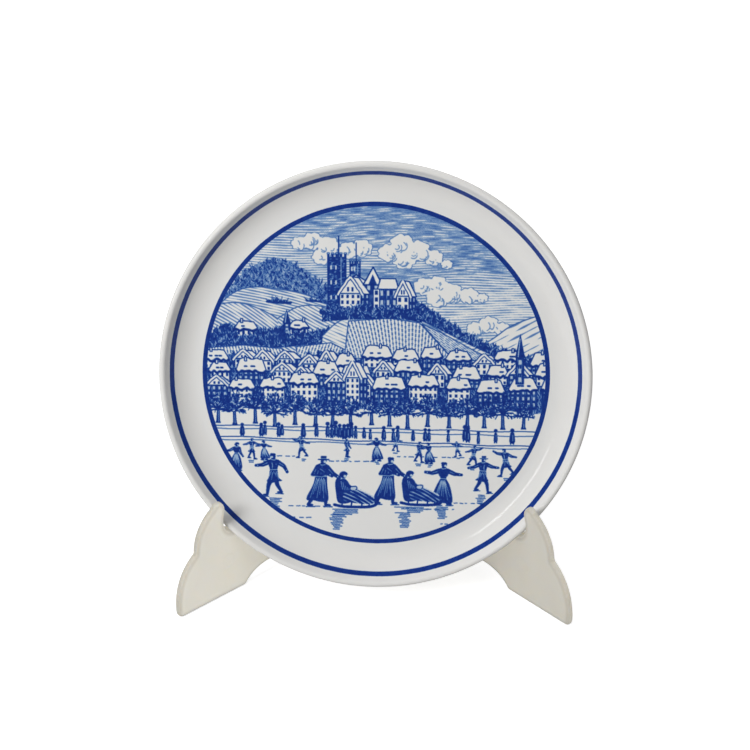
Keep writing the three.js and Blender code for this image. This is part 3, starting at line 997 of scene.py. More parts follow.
def make_print():
    """A winter town under a castle, with people on a frozen river: an invented place."""
    sheet = Sheet(PRINT_RADIUS + 2, PRINT_PITCH)
    rng = np.random.default_rng(11)
    draw_sky(sheet)
    for lobes in (
        [(-34, 60, 3.6), (-28, 61, 4.6), (-21, 59, 4.8), (-24, 54, 4.2), (-12, 57, 4.4), (-6, 58, 4.6)],
        [(6, 56, 4.6), (12, 60, 5.2), (19, 57, 5.4), (26, 54, 4.2), (13, 53, 5.0), (32, 51, 2.6)],
        [(22, 41, 4.6), (28, 42, 4.4), (34, 38, 5.2), (42, 37, 4.2), (48, 36, 2.6), (28, 36, 5.0)],
        [(45, 22, 3.8), (51, 24, 4.4), (57, 22, 3.6)],
    ):
        draw_cloud(sheet, lobes, rng)
    for draw in (draw_land, draw_village_church, draw_castle, draw_town, draw_promenade, draw_onlookers,
                 draw_ice):
        draw(sheet, rng)
    sheet.ink[np.hypot(sheet.x, sheet.y) > PRINT_RADIUS] = 0.0
    return sheet


# ---------------------------------------------------------------- plate


def wall_line(curve, thickness_change):
    """A layer of the wall, from the well up to the lip, as (radius, height)."""
    share = np.linspace(0, 1, 60)
    curve = curve + thickness_change * share
    return np.stack([WALL_CENTRE_RADIUS + curve * np.sin(WALL_SWEEP * share),
                     WALL_CENTRE_HEIGHT - curve * np.cos(WALL_SWEEP * share)], axis=1)


def plate_section():
    """The section outside the printed scene, as (radius, height): front wall, lip, back, foot ring."""
    lip_middle = wall_line(WALL_MIDDLE_CURVE, 0)[-1]
    turn = WALL_SWEEP + np.linspace(math.pi / 2, -math.pi / 2, 40)[1:-1]
    lip = lip_middle + LIP_THICKNESS / 2 * np.stack([np.cos(turn), np.sin(turn)], axis=1)
    floor = -(WELL_DEPTH + WELL_THICKNESS)
    foot = [
        (FOOT_OUTER_RADIUS, floor),
        (FOOT_OUTER_RADIUS - FOOT_EDGE / 2, -FOOT_DEPTH + FOOT_EDGE),
        (FOOT_OUTER_RADIUS - 2 * FOOT_EDGE, -FOOT_DEPTH),
        (FOOT_INNER_RADIUS + 2 * FOOT_EDGE, -FOOT_DEPTH),
        (FOOT_INNER_RADIUS + FOOT_EDGE / 2, -FOOT_DEPTH + FOOT_EDGE),
        (FOOT_INNER_RADIUS, floor - 1),
        (FOOT_INNER_RADIUS - 1, floor),
        (FOOT_INNER_RADIUS - 12, floor),
    ]
    line = np.vstack([
        [(PRINT_MESH_RADIUS, -WELL_DEPTH)],
        wall_line(WALL_CURVE, 0),
        lip,
        wall_line(WALL_CURVE + WELL_THICKNESS, LIP_THICKNESS - WELL_THICKNESS)[::-1],
        foot,
    ])
    return thinned(softened(line, PLATE_ROUNDING), math.radians(5), 1.8)


def plate_rings():
    """Rings over the whole plate. Under the print they are so close that it stays sharp."""
    rings = [(0.0, -WELL_DEPTH, 1)]
    for ring in range(1, PRINT_MESH_RINGS + 1):
        rings.append((PRINT_MESH_RADIUS * ring / PRINT_MESH_RINGS, -WELL_DEPTH, 6 * ring))
    rings += [(radius, height, PLATE_SEGMENTS) for radius, height in plate_section()[1:]]
    floor = rings[-1][1]
    for share in (0.75, 0.5, 0.25):
        rings.append((rings[-1][0] * share, floor, int(PLATE_SEGMENTS * share)))
    return rings + [(0.0, floor, 1)]


def fired_unevenness(x, y):
    """The slight warp that firing leaves in a plate."""
    around = np.arctan2(y, x)
    outward = np.hypot(x, y) / PLATE_RADIUS
    return 0.07 * outward ** 3 * np.sin(2 * around + 0.7) + 0.02 * np.sin(x / 13) * np.sin(y / 17 + 1)


def rod(name, start, end, radius):
    """A plain round rod between two places, as a cutting tool."""
    sides = CORD_HOLE_SIDES
    axis = (end - start).normalized()
    side = axis.orthogonal().normalized()
    other = axis.cross(side)
    points = []
    for place in (start, end):
        for i in range(sides):
            turn = 2 * math.pi * i / sides
            points.append(place + radius * (math.cos(turn) * side + math.sin(turn) * other))
    faces = [(i, (i + 1) % sides, sides + (i + 1) % sides, sides + i) for i in range(sides)]
    faces += [tuple(reversed(range(sides))), tuple(range(sides, 2 * sides))]
    return tool_mesh(name, points, faces)


def cord_hole(side):
    """The cutter for one of the two cord holes through the top of the foot ring."""
    place = PLATE_CENTRE + PLATE_RIGHT * (side * CORD_HOLE_SPACING / 2) - PLATE_OUT * CORD_HOLE_DEPTH
    start, end = (place + PLATE_UP * reach for reach in (FOOT_INNER_RADIUS - 8, FOOT_OUTER_RADIUS + 3))
    return rod("cord_hole", start, end, CORD_HOLE_RADIUS)


def make_plate():
    points, faces = turned_body(plate_rings())
    inward = np.clip(1 - np.abs(points[:, 2] + FOOT_DEPTH) / 3, 0, 1)
    points[:, 2] += fired_unevenness(points[:, 0], points[:, 1]) * (1 - inward)
    axes, centre = np.array([PLATE_RIGHT, PLATE_UP, PLATE_OUT]), np.array(PLATE_CENTRE)
    plate = new_piece("glazed_plate", points @ axes + centre, faces, "plate", "plate")
    combine(plate, [cord_hole(side) for side in (-1, 1)], "DIFFERENCE")
    shade_smooth(plate, 50)
    local = (vertex_places(plate) - centre) @ axes.T
    ink = make_print().sampled(local[:, :2].clip(-PRINT_MESH_RADIUS, PRINT_MESH_RADIUS))
    in_front = (local[:, 2] > -WELL_DEPTH - 1) & (np.hypot(local[:, 0], local[:, 1]) < PRINT_RADIUS)
    point_values(plate, "ink", np.where(in_front, ink, 0.0))
    plate.data.materials.append(porcelain_material())
    return plate


# ---------------------------------------------------------------- stand


def support_line(height):
    """Distance from the hinge axis, along a wing, of the edge that the plate's foot ring leans on."""
    behind_lip = (FOOT_DEPTH + SUPPORT_GAP) / math.cos(PLATE_LEAN)
    rise = (height - LIP_HEIGHT) * math.tan(PLATE_LEAN)
    return (LIP_FORWARD - behind_lip - rise) / math.cos(WING_ANGLE) + WING_OFFSET


def bent_line(start, *curves):
    """A line of Bezier curves, each given by its handles, if any, and its end."""
    line = [start]
    share = np.linspace(0, 1, 41)[1:, None]
    for curve in curves:
        controls = np.array([line[-1], *curve], float)
        order = len(controls) - 1
        places = sum(math.comb(order, i) * share ** i * (1 - share) ** (order - i) * controls[i]
                     for i in range(order + 1))
        line.extend(map(tuple, places))
    return np.array(line)


def wing_outline():
    """Side view of a wing: x runs out from the hinge axis, y is height above the table."""
    top, support_bottom, arch = 153.0, 58.0, 7.0
    support_top = top - 2.5
    return bent_line(
        (WING_REAR, 0),
        [(21, 0)],
        [(22, 4), (25, arch), (30, arch)],
        [(70, arch)],
        [(79.5, arch), (84.3, 2.9), (86, 0)],
        [(122, 0)],
        # toe, then two swelling curves that meet at a waist
        [(123.8, 0), (124.7, 1), (124.8, 3)],
        [(124.9, 14), (121.2, 23.4), (112.6, 29.6)],
        [(112.1, 37.6), (108.4, 44.4), (101.2, 49.1)],
        # hook, with a slightly hanging tip, and the notch behind it
        [(99.8, 51.6), (96, 52.6), (95, 47.8)],
        [(94.7, 45.6), (96.3, 43.5), (96.3, 40.5)],
        [(96.3, 35.4), (94.4, 32.6), (89.5, 32.5)],
        [(82.5, 31.7), (75.5, 33.7), (72.8, 38.5)],
        # under the plate's back, then up the edge that its foot ring leans on
        [(69, 43), (62.5, 50), (support_line(support_bottom), support_bottom)],
        [(support_line(support_top), support_top)],
        [(support_line(top), top), (support_line(top) - 1.4, top)],
        [(WING_REAR, top)],
        [(WING_REAR, 0)],
    )


def panel_relief(places, depth):
    """Height of a panel's face above its middle: a rounded edge, then a faint step down inside the border."""
    near_notch = np.exp(-((places - NOTCH) ** 2).sum(axis=1) / 11.0 ** 2)
    edge_radius = PANEL_EDGE_RADIUS + (NOTCH_EDGE_RADIUS - PANEL_EDGE_RADIUS) * near_notch
    inward = np.clip(depth / edge_radius, 0, 1)
    rounding = edge_radius * (1 - np.sqrt(1 - (1 - inward) ** 2))
    step = np.clip((depth - PANEL_BORDER) / 0.9, 0, 1)
    return WING_THICKNESS / 2 - rounding - PANEL_RECESS * step * step * (3 - 2 * step)


def notch_seat(x, height, across):
    """How far the notch's bed rises towards the wing's outer face, where the plate's rim lies higher."""
    start, end = NOTCH_BED
    beside = np.clip(start - x, 0, None) / 7 + np.clip(x - end, 0, None) / 4
    above = np.clip(np.abs(height - NOTCH_BED_HEIGHT) - 1.5, 0, None) / 2.5
    outward = 0.5 - across / WING_THICKNESS
    return NOTCH_BED_RISE * outward * np.exp(-beside ** 2 - above ** 2)


def ejector_mark(places, centre):
    """The shallow round dent that a mould's ejector pin leaves, with a faint rim."""
    away = np.hypot(*(places - centre).T)
    rim = np.exp(-((away - EJECTOR_RADIUS) / 0.35) ** 2)
    dent = (away < EJECTOR_RADIUS) * np.clip((EJECTOR_RADIUS - away) / 0.5, 0, 1)
    return -0.10 * dent + 0.05 * rim


def distance_to_outline(places, outline):
    """How far each place lies from a closed outline."""
    start, end = outline, np.roll(outline, -1, axis=0)
    along = end - start
    nearest = np.full(len(places), np.inf)
    for first in range(0, len(places), 2000):
        some = places[first:first + 2000]
        offset = some[:, None] - start[None]
        share = np.clip((offset * along).sum(2) / (along ** 2).sum(1), 0, 1)
        gap = offset - share[..., None] * along
        nearest[first:first + 2000] = np.sqrt((gap ** 2).sum(2).min(axis=1))
    return nearest


def inside_outline(places, outline):
    crossed, across = crossings(outline, places[:, 1:2])
    return (crossed & (across > places[:, 0:1])).sum(axis=1) % 2 == 1


def panel_points(outline):
    """Points over a panel: its outline, lines set in from it where the relief turns, and a grid."""
    following, before = np.roll(outline, -1, axis=0), np.roll(outline, 1, axis=0)
    along = following - before
    inward = np.stack([-along[:, 1], along[:, 0]], axis=1) / np.hypot(*along.T)[:, None]
    depths = [PANEL_EDGE_RADIUS * (1 - math.cos(math.radians(angle))) for angle in (20, 38, 55, 72, 90)]
    depths += [2.1] + [PANEL_BORDER + 0.3 * i for i in range(4)]
    extra = []
    for depth in depths:
        line = outline + depth * inward
        extra.append(line[distance_to_outline(line, outline) > 0.985 * depth])
    low, high = outline.min(axis=0), outline.max(axis=0)
    x, y = np.meshgrid(*(np.arange(*span) for span in zip(low, high, PANEL_GRID)))
    x[1::2] += PANEL_GRID[0] / 2
    grid = np.stack([x.ravel(), y.ravel()], axis=1)
    for centre in EJECTOR_MARKS:
        for radius in (1.5, 3.0, 3.5, 3.8, 4.1, 4.4, 4.8):
            extra.append(disc(*centre, radius, 48))
        grid = grid[np.hypot(*(grid - centre).T) > 6.0]
    grid = grid[inside_outline(grid, outline)]
    extra.append(grid[distance_to_outline(grid, outline) > 4.4])
    extra = np.vstack(extra)
    return extra[inside_outline(extra, outline)]


def make_panel(outline):
    """One closed flat panel, centred on its own mid-plane: points as (x, y, across) and triangles."""
    flat = [Vector(place) for place in np.vstack([outline, panel_points(outline)])]
    rim = list(range(len(outline)))
    places, _, triangles, origins, _, _ = delaunay_2d_cdt(flat, [], [rim], 1, 1e-5)
    places, triangles = np.array(places), np.array(triangles)
    number_of = {old: new for new, group in enumerate(origins) for old in group}
    rim = np.array([number_of[i] for i in rim])
    depth = distance_to_outline(places, outline)
    depth[rim] = 0.0
    back = panel_relief(places, depth)
    face = back
    for centre in EJECTOR_MARKS:
        face = face + ejector_mark(places, centre)
    count = len(places)
    following = np.roll(rim, -1)
    walls = np.vstack([
        np.stack([rim, rim + count, following + count], axis=1),
        np.stack([rim, following + count, following], axis=1),
    ])
    faces = np.vstack([triangles, triangles[:, ::-1] + count, walls])
    return np.vstack([np.column_stack([places, face]), np.column_stack([places, -back])]), faces


def knuckle(bottom, top):
    """Points and faces of one hinge knuckle, bored for the pin, with its ends broken."""
    edge = MOULDED_EDGE
    section = [(BORE_RADIUS + edge, bottom), (BARREL_RADIUS - edge, bottom), (BARREL_RADIUS, bottom + edge),
               (BARREL_RADIUS, top - edge), (BARREL_RADIUS - edge, top), (BORE_RADIUS + edge, top),
               (BORE_RADIUS, top - edge), (BORE_RADIUS, bottom + edge)]
    sides, count = KNUCKLE_SIDES, len(section)
    turns = [2 * math.pi * i / sides for i in range(sides)]
    points = [(radius * math.cos(turn), radius * math.sin(turn), height)
              for turn in turns for radius, height in section]
    faces = [(i * count + j, (i + 1) % sides * count + j, (i + 1) % sides * count + (j + 1) % count,
              i * count + (j + 1) % count) for i in range(sides) for j in range(count)]
    return points, faces


def web(bottom, top, side):
    """The stub that joins a knuckle to its panel: it flares into the barrel, and clears the bore."""
    near, far = side * WING_OFFSET, side * (WING_OFFSET + WING_THICKNESS)
    inset = side * 0.12  # keeps the stub's faces off the panel's
    section = [(2.6, far * 0.86), (4.6, far - side * 0.25), (9.0, far - inset), (9.0, near + inset),
               (3.2, near + inset)]
    if side < 0:
        section.reverse()
    levels = [bottom + MOULDED_EDGE, top - MOULDED_EDGE]
    points = [(x, y, height) for height in levels for x, y in section]
    count = len(section)
    faces = [(j, (j + 1) % count, count + (j + 1) % count, count + j) for j in range(count)]
    faces += [tuple(reversed(range(count))), tuple(range(count, 2 * count))]
    return points, [tuple(reversed(face)) for face in faces]


def make_wing(side):
    """A wing: side is 1 for the right one and -1 for the left one."""
    name = "right_wing" if side > 0 else "left_wing"
    outline = spaced(wing_outline(), PANEL_STEP)[:-1]
    panel, faces = make_panel(outline)
    x, height, across = panel.T
    height = height + notch_seat(x, height, across)
    # The upper face, with the marks, is the one nearer the hinge plane: it shows from the front.
    y = side * (WING_OFFSET + WING_THICKNESS / 2 - across)
    if side < 0:
        faces = faces[:, ::-1]
    turn = np.array(Matrix.Rotation(-math.pi / 2 + side * WING_ANGLE, 3, "Z"))
    hinge_foot = np.array((HINGE.x, HINGE.y, 0.0))

    def placed(points):
        return np.asarray(points, float) @ turn.T + hinge_foot

    points = placed(np.stack([x, y, height], axis=1))
    wing = new_piece("moulded_" + name, points, faces, name, name)
    pitch = (BARREL_TOP - BARREL_BOTTOM) / KNUCKLES
    tools = []
    for i in range(1 if side > 0 else 0, KNUCKLES, 2):
        bottom = BARREL_BOTTOM + i * pitch + KNUCKLE_GAP / 2
        top = BARREL_BOTTOM + (i + 1) * pitch - KNUCKLE_GAP / 2
        for points, tool_faces in (knuckle(bottom, top), web(bottom, top, side)):
            tools.append(tool_mesh("knuckle", placed(points), tool_faces))
    combine(wing, tools, "UNION")
    shade_smooth(wing, 42)
    places = (vertex_places(wing) - hinge_foot) @ turn
    point_values(wing, "from_edge", distance_to_outline(places[:, (0, 2)], outline))
    wing.data.materials.append(plastic_material("satin_plastic_" + ("right" if side > 0 else "left")))
    return wing


def make_hinge_pin():
    """A moulded pin: a shaft with a broken end and a low domed head."""
    head_bottom = BARREL_TOP + KNUCKLE_GAP
    dome = np.linspace(0, math.pi / 2, 9)
    edge = 0.45
    crown = PIN_HEAD_HEIGHT - edge
    head = [(PIN_HEAD_RADIUS * math.cos(turn) ** 0.6, head_bottom + edge + crown * math.sin(turn))
            for turn in dome[:-1]]
    section = [(0.0, head_bottom + PIN_HEAD_HEIGHT), *head[::-1], (PIN_HEAD_RADIUS - 0.2, head_bottom),
               (PIN_RADIUS + 0.25, head_bottom), (PIN_RADIUS, head_bottom - 0.25)]
    section += [(PIN_RADIUS, height) for height in np.linspace(head_bottom - 3, PIN_BOTTOM + 0.6, 30)]
    section += [(PIN_RADIUS - 0.15, PIN_BOTTOM + 0.2), (PIN_RADIUS - 0.5, PIN_BOTTOM), (0.0, PIN_BOTTOM)]
    rings = [(radius, height, 48 if radius > 0 else 1) for radius, height in section]
    points, faces = turned_body(rings)
    points += np.array((HINGE.x, HINGE.y, 0.0))
    pin = new_piece("headed_pin", points, faces, "hinge_pin", "hinge_pin")
    shade_smooth(pin, 50)
    point_values(pin, "from_edge", np.full(len(points), 5.0))
    pin.data.materials.append(plastic_material("pin_plastic", dustiness=1.4))
    return pin


# ---------------------------------------------------------------- materials


class Shader:
    """A new material and a short way to write its nodes. Sockets and plain numbers both serve as values."""

    def __init__(self, name):
        self.material = bpy.data.materials.new(name)
        self.material.use_nodes = True
        self.tree = self.material.node_tree
        self.surface = self.tree.nodes["Principled BSDF"]

    def node(self, kind, inputs=(), **settings):
        node = self.tree.nodes.new("ShaderNode" + kind)
        for setting, value in settings.items():
            setattr(node, setting, value)
        for socket, value in dict(inputs).items():
            self.put(node.inputs[socket], value)
        return node

    def put(self, socket, value):
        if isinstance(value, bpy.types.NodeSocket):
            self.tree.links.new(value, socket)
        else:
            socket.default_value = value

    def math(self, operation, *values):
        node = self.node("Math", operation=operation)
        for socket, value in zip(node.inputs, values):
            self.put(socket, value)
        return node.outputs[0]

    def times(self, first, second):
        return self.math("MULTIPLY", first, second)

    def off(self, value, middle):
        """How far a value is from its middle."""
        return self.math("ABSOLUTE", self.math("SUBTRACT", value, middle))

    def vector(self, operation, *values, output="Vector"):
        node = self.node("VectorMath", operation=operation)
        for socket, value in zip(node.inputs, values):
            self.put(socket, value)
        return node.outputs[output]

    def places(self):
        """Object coordinates in millimetres."""
        return self.vector("MULTIPLY", self.node("TexCoord").outputs["Object"], (1000, 1000, 1000))

    def noise(self, places, size, detail, roughness=0.5):
        """Noise around 0.5, with features of about size millimetres."""
        inputs = {"Vector": places, "Scale": 1 / size, "Detail": detail, "Roughness": roughness}
        return self.node("TexNoise", inputs).outputs["Fac"]

    def between(self, value, low, high, from_value=0.0, to_value=1.0):
        """Maps low...high smoothly to from_value...to_value."""
        inputs = {"Value": value, "From Min": low, "From Max": high, "To Min": from_value, "To Max": to_value}
        return self.node("MapRange", inputs, interpolation_type="SMOOTHSTEP").outputs["Result"]

    def mix(self, share, first, second, kind="Color"):
        """Goes from first, at a share of 0, to second. The kind is Color or Float."""
        node = self.node("Mix", data_type="RGBA" if kind == "Color" else "FLOAT")
        sockets = {socket.identifier: socket for socket in node.inputs}
        self.put(sockets["Factor_Float"], share)
        self.put(sockets["A_" + kind], first)
        self.put(sockets["B_" + kind], second)
        return next(socket for socket in node.outputs if socket.identifier == "Result_" + kind)

    def bump(self, height, distance, normal=None):
        """A bump from a height of 0 to 1 that stands for distance millimetres."""
        inputs = {"Height": height, "Distance": distance * MM, "Strength": 1.0}
        if normal is not None:
            inputs["Normal"] = normal
        return self.node("Bump", inputs).outputs["Normal"]

    def finish(self, **values):
        for socket, value in values.items():
            self.put(self.surface.inputs[socket.replace("_", " ")], value)
        return self.material


def rgba(red, green, blue):
    return (red, green, blue, 1.0)


def band_ink(shader, radius, places, band, seed):
    """A band printed round the plate: slightly uneven edges and slightly uneven ink."""
    middle, half = band
    wander = shader.times(shader.math("SUBTRACT", shader.noise(places, 9 + seed, 3.0), 0.5), 0.22)
    fray = shader.times(shader.math("SUBTRACT", shader.noise(places, 0.35, 1.0), 0.5), 0.16)
    off = shader.off(radius, shader.math("ADD", middle, wander))
    inside = shader.between(shader.math("ADD", off, fray), half + 0.12, half - 0.12)
    strength = shader.between(shader.noise(places, 2.2, 3.0, 0.6), 0.25, 0.75, 0.84, 1.0)
    return shader.times(inside, strength)


def porcelain_material():
    """White glazed porcelain with cobalt-blue print under the glaze, and a bare ground foot ring."""
    shader = Shader("printed_porcelain")
    places = shader.places()
    offset = shader.vector("SUBTRACT", places, tuple(PLATE_CENTRE))
    height = shader.vector("DOT_PRODUCT", offset, tuple(PLATE_OUT), output="Value")
    across = shader.vector("DOT_PRODUCT", offset, tuple(PLATE_RIGHT), output="Value")
    upward = shader.vector("DOT_PRODUCT", offset, tuple(PLATE_UP), output="Value")
    squares = shader.math("ADD", shader.times(across, across), shader.times(upward, upward))
    radius = shader.math("SQRT", squares)

    # The body: a faintly warm white, greener where the glaze lies thick, with a few iron specks.
    tone = shader.noise(places, 28, 3.0, 0.55)
    body = shader.mix(tone, rgba(0.72, 0.712, 0.692), rgba(0.755, 0.748, 0.732))
    pooled = shader.between(height, -WELL_DEPTH + 0.6, -WELL_DEPTH, 0.0, 0.35)
    body = shader.mix(pooled, body, rgba(0.73, 0.738, 0.73))
    speck_cell = shader.node("TexVoronoi", {"Vector": places, "Scale": 1 / 7.0, "Randomness": 1.0})
    speck = shader.between(speck_cell.outputs["Distance"], 0.03, 0.018)
    chance = shader.node("SeparateColor", {"Color": speck_cell.outputs["Color"]}).outputs["Red"]
    speck = shader.times(speck, shader.math("GREATER_THAN", chance, 0.86))
    body = shader.mix(shader.times(speck, 0.5), body, rgba(0.30, 0.25, 0.20))

    # The print: each channel's light is absorbed as the ink gets thicker.
    normal = shader.node("TexCoord").outputs["Normal"]
    facing = shader.vector("DOT_PRODUCT", normal, tuple(PLATE_OUT), output="Value")
    in_front = shader.math("GREATER_THAN", facing, 0.1)
    scene_ink = shader.node("Attribute", attribute_name="ink").outputs["Fac"]
    mottle = shader.between(shader.noise(places, 1.3, 4.0, 0.65), 0.3, 0.7, 0.86, 1.04)
    ink = shader.times(scene_ink, mottle)
    for seed, band in enumerate((INNER_BAND, OUTER_BAND)):
        ink = shader.math("MAXIMUM", ink, band_ink(shader, radius, places, band, seed))
    ink = shader.times(ink, in_front)
    passed = [shader.math("POWER", share, ink) for share in INK_PASSES]
    filter_colour = shader.node("CombineColor", dict(zip(("Red", "Green", "Blue"), passed))).outputs["Color"]
    printed = shader.vector("MULTIPLY", body, filter_colour)

    # The foot ring is wiped clean of glaze, so it stays matte, greyer and a little soiled.
    low = shader.between(height, -FOOT_DEPTH + 1.3, -FOOT_DEPTH + 0.7)
    foot_middle = (FOOT_OUTER_RADIUS + FOOT_INNER_RADIUS) / 2
    ring = shader.times(low, shader.between(shader.off(radius, foot_middle), 3.4, 2.9))
    soil = shader.noise(places, 3.5, 5.0, 0.7)
    soiled = shader.between(soil, 0.4, 0.75, 0.0, 0.5)
    biscuit = shader.mix(soiled, rgba(0.66, 0.64, 0.60), rgba(0.42, 0.38, 0.33))
    colour = shader.mix(ring, printed, biscuit)

    smear = shader.noise(places, 16, 4.0, 0.6)
    glossy = shader.between(smear, 0.3, 0.75, 0.07, 0.15)
    roughness = shader.mix(ring, glossy, 0.72, kind="Float")

    ripple = shader.bump(shader.noise(places, 6.0, 1.5, 0.4), 0.020)
    peel = shader.bump(shader.noise(places, 1.4, 1.0, 0.4), 0.0022, ripple)
    relief = shader.bump(ink, 0.004, peel)
    grit = shader.bump(shader.times(shader.noise(places, 0.35, 3.0, 0.7), ring), 0.12, relief)
    return shader.finish(Base_Color=colour, Roughness=roughness, Normal=grit, IOR=1.5,
                         Subsurface_Weight=0.12, Subsurface_Radius=(0.0016, 0.0015, 0.0013),
                         Subsurface_Scale=1.0)


def plastic_material(name, dustiness=1.0):
    """Translucent milky polypropylene: satin, streaked by its flow, with painted shade darkening it near its
    edges, and pale scuffs along them. dustiness scales the dust that lies on it."""
    shader = Shader(name)
    places = shader.places()
    stretched = shader.vector("MULTIPLY", places, (1.0, 1.0, 0.3))
    flow = shader.noise(stretched, 14, 4.0, 0.6)
    cloud = shader.noise(places, 30, 2.0, 0.5)
    milk = shader.mix(flow, rgba(*PLASTIC_DEEP), rgba(*PLASTIC_PALE))
    milk = shader.mix(shader.times(cloud, 0.35), milk, rgba(*PLASTIC_WARM))
    edge = shader.node("Attribute", attribute_name="from_edge").outputs["Fac"]
    # Painted shade: the colour darkens within a few millimetres of the outline, standing in for shade on the
    # rounded edges.
    milk = shader.mix(shader.between(edge, 2.6, 0.6, 0.0, 0.6), milk, rgba(*PAINTED_EDGE_SHADE))
    scuff = shader.noise(places, 1.1, 5.0, 0.7)
    rub = shader.times(shader.between(edge, 1.1, 0.0), shader.between(scuff, 0.42, 0.66))
    colour = shader.mix(shader.times(rub, 0.25), milk, rgba(0.86, 0.85, 0.82))
    dust = shader.between(shader.noise(places, 0.9, 5.0, 0.75), 0.60, 0.76, 0.0, 0.22 * dustiness)
    colour = shader.mix(dust, colour, rgba(0.47, 0.44, 0.38))

    satin = shader.between(shader.noise(places, 9, 4.0, 0.65), 0.3, 0.7, 0.36, 0.50)
    roughness = shader.math("ADD", satin, shader.times(rub, 0.18))
    hairlines = shader.noise(shader.vector("MULTIPLY", places, (0.12, 0.12, 1.6)), 0.5, 4.0, 0.7)
    surface = shader.bump(shader.noise(places, 0.42, 3.0, 0.6), 0.010)
    surface = shader.bump(hairlines, 0.006, surface)
    surface = shader.bump(shader.noise(places, 24, 1.0, 0.4), 0.14, surface)
    return shader.finish(Base_Color=colour, Roughness=roughness, Normal=surface, IOR=1.49,
                         Subsurface_Weight=0.8, Subsurface_Radius=(0.0042, 0.0037, 0.0029),
                         Subsurface_Scale=1.0)


def floor_material():
    """A plain white board with the faintest tooth. It looks a little brighter than the light it sheds."""
    shader = Shader("white_board")
    places = shader.places()
    tooth = shader.noise(places, 3.0, 4.0, 0.6)
    colour = shader.mix(tooth, rgba(0.59, 0.59, 0.59), rgba(0.61, 0.61, 0.61))
    seen = shader.node("LightPath").outputs["Is Camera Ray"]
    glow = shader.times(seen, FLOOR_GLOW)
    return shader.finish(Base_Color=colour, Roughness=0.85, Normal=shader.bump(tooth, 0.02),
                         Emission_Color=rgba(1, 1, 1), Emission_Strength=glow)


# ---------------------------------------------------------------- stage, light and camera


def direction_to(azimuth, elevation):
    """Unit vector towards a place in the room. Azimuth 0 is the photographer's side, 90 is the right."""
    turn, rise = math.radians(azimuth), math.radians(elevation)
    return Vector((math.sin(turn) * math.cos(rise), -math.cos(turn) * math.cos(rise), math.sin(rise)))


def group_of(name, pieces):
    group = bpy.data.collections.new(name)
    for piece in pieces:
        group.objects.link(piece)
    return group


def add_window(name, placing, lit, blocked_by=None, in_reflections=False):
    """A soft rectangular light that faces the plate and reaches only the pieces in lit. When blocked_by
    is given, only those pieces cast shadows in it."""
    azimuth, elevation, distance, width, height, power = placing
    lamp = bpy.data.lights.new(name, "AREA")
    lamp.shape = "RECTANGLE"
    lamp.size, lamp.size_y = width, height
    lamp.energy = power
    window = bpy.data.objects.new(name, lamp)
    bpy.context.scene.collection.objects.link(window)
    aim = PLATE_CENTRE * MM
    window.location = aim + direction_to(azimuth, elevation) * distance
    window.rotation_euler = (aim - window.location).to_track_quat("-Z", "Y").to_euler()
    window.visible_glossy = in_reflections
    window.visible_diffuse = not in_reflections
    window.light_linking.receiver_collection = group_of(name + "_reaches", lit)
    if blocked_by is not None:
        window.light_linking.blocker_collection = group_of(name + "_blockers", blocked_by)


def add_floor():
    mesh = bpy.data.meshes.new("floor")
    half = FLOOR_REACH
    corners = [(-half, -half, 0), (half, -half, 0), (half, half, 0), (-half, half, 0)]
    mesh.from_pydata(corners, [], [(0, 1, 2, 3)])
    floor = bpy.data.objects.new("floor", mesh)
    floor.location.z = cad_box[0][2] - FLOOR_GAP * MM
    mesh.materials.append(floor_material())
    bpy.context.scene.collection.objects.link(floor)
    return floor


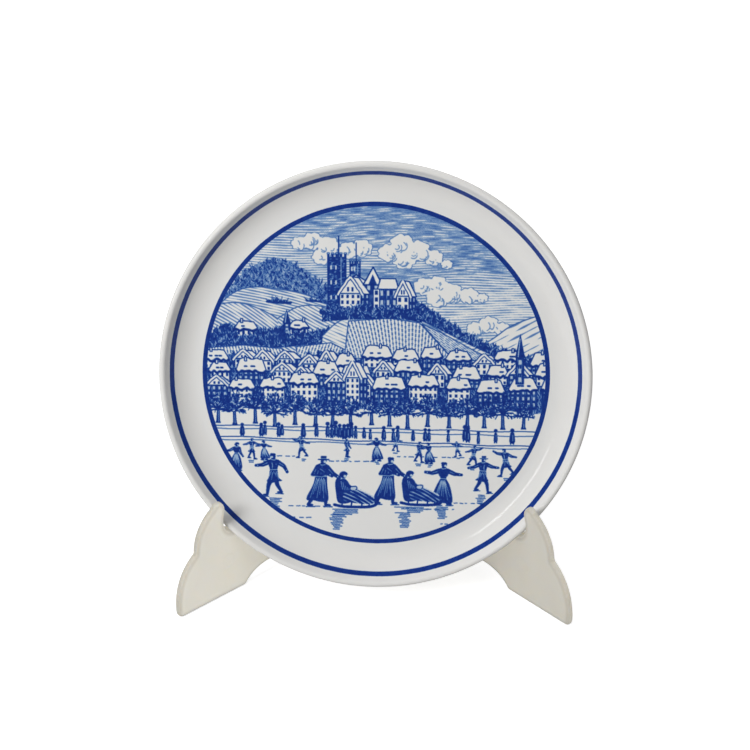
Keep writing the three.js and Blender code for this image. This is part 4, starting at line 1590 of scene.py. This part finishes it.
def light_room():
    """White to the camera, dim in reflections, and otherwise a soft light from overhead."""
    world = bpy.data.worlds.new("room")
    world.use_nodes = True
    tree = world.node_tree

    def pick(share, first, second):
        choice = tree.nodes.new("ShaderNodeMix")
        choice.data_type = "FLOAT"
        for socket, value in (("Factor", share), ("A", first), ("B", second)):
            if isinstance(value, bpy.types.NodeSocket):
                tree.links.new(value, choice.inputs[socket])
            else:
                choice.inputs[socket].default_value = value
        return choice.outputs["Result"]

    rays = tree.nodes.new("ShaderNodeLightPath").outputs
    direction = tree.nodes.new("ShaderNodeSeparateXYZ")
    tree.links.new(tree.nodes.new("ShaderNodeTexCoord").outputs["Generated"], direction.inputs["Vector"])
    sky = pick(direction.outputs["Z"], SKY_AT_HORIZON, SKY_OVERHEAD)
    sky = pick(rays["Is Glossy Ray"], sky, REFLECTED_ROOM)
    sky = pick(rays["Is Camera Ray"], sky, 1.0)
    background = tree.nodes["Background"]
    tree.links.new(sky, background.inputs["Strength"])
    background.inputs["Color"].default_value = (1.0, 1.0, 1.0, 1.0)
    bpy.context.scene.world = world


def place_camera():
    """The photographer's view, found by matching the outlines of the plate and the stand."""
    camera = bpy.data.objects.new("camera", bpy.data.cameras.new("camera"))
    bpy.context.scene.collection.objects.link(camera)
    camera.data.sensor_width = CAMERA_SENSOR
    camera.data.lens = CAMERA_LENS
    camera.data.clip_start, camera.data.clip_end = CAMERA_CLIP
    aim = Vector(CAMERA_AIM) * MM
    camera.location = aim + direction_to(CAMERA_AZIMUTH, CAMERA_ELEVATION) * CAMERA_DISTANCE * MM
    look = (aim - camera.location).to_track_quat("-Z", "Y").to_matrix().to_4x4()
    camera.rotation_euler = (look @ Matrix.Rotation(math.radians(CAMERA_ROLL), 4, "Z")).to_euler()
    bpy.context.scene.camera = camera


def main():
    plate = make_plate()
    stand = [make_wing(-1), make_wing(1), make_hinge_pin()]
    floor = add_floor()
    light_room()
    add_window("key_window", KEY_WINDOW, [plate, floor])
    add_window("back_fill", BACK_FILL, [plate, *stand])
    add_window("glint_window", GLINT_WINDOW, [plate, *stand], in_reflections=True)
    # The wings' milky plastic glows where the plate shades it, so the plate lets this light by.
    add_window("stand_key", STAND_KEY, stand, blocked_by=stand)
    add_window("stand_fill", STAND_FILL, stand, blocked_by=stand)
    add_window("left_fill", LEFT_FILL, stand[:1], blocked_by=stand)
    place_camera()
    bpy.context.scene.view_settings.view_transform = "Standard"


main()
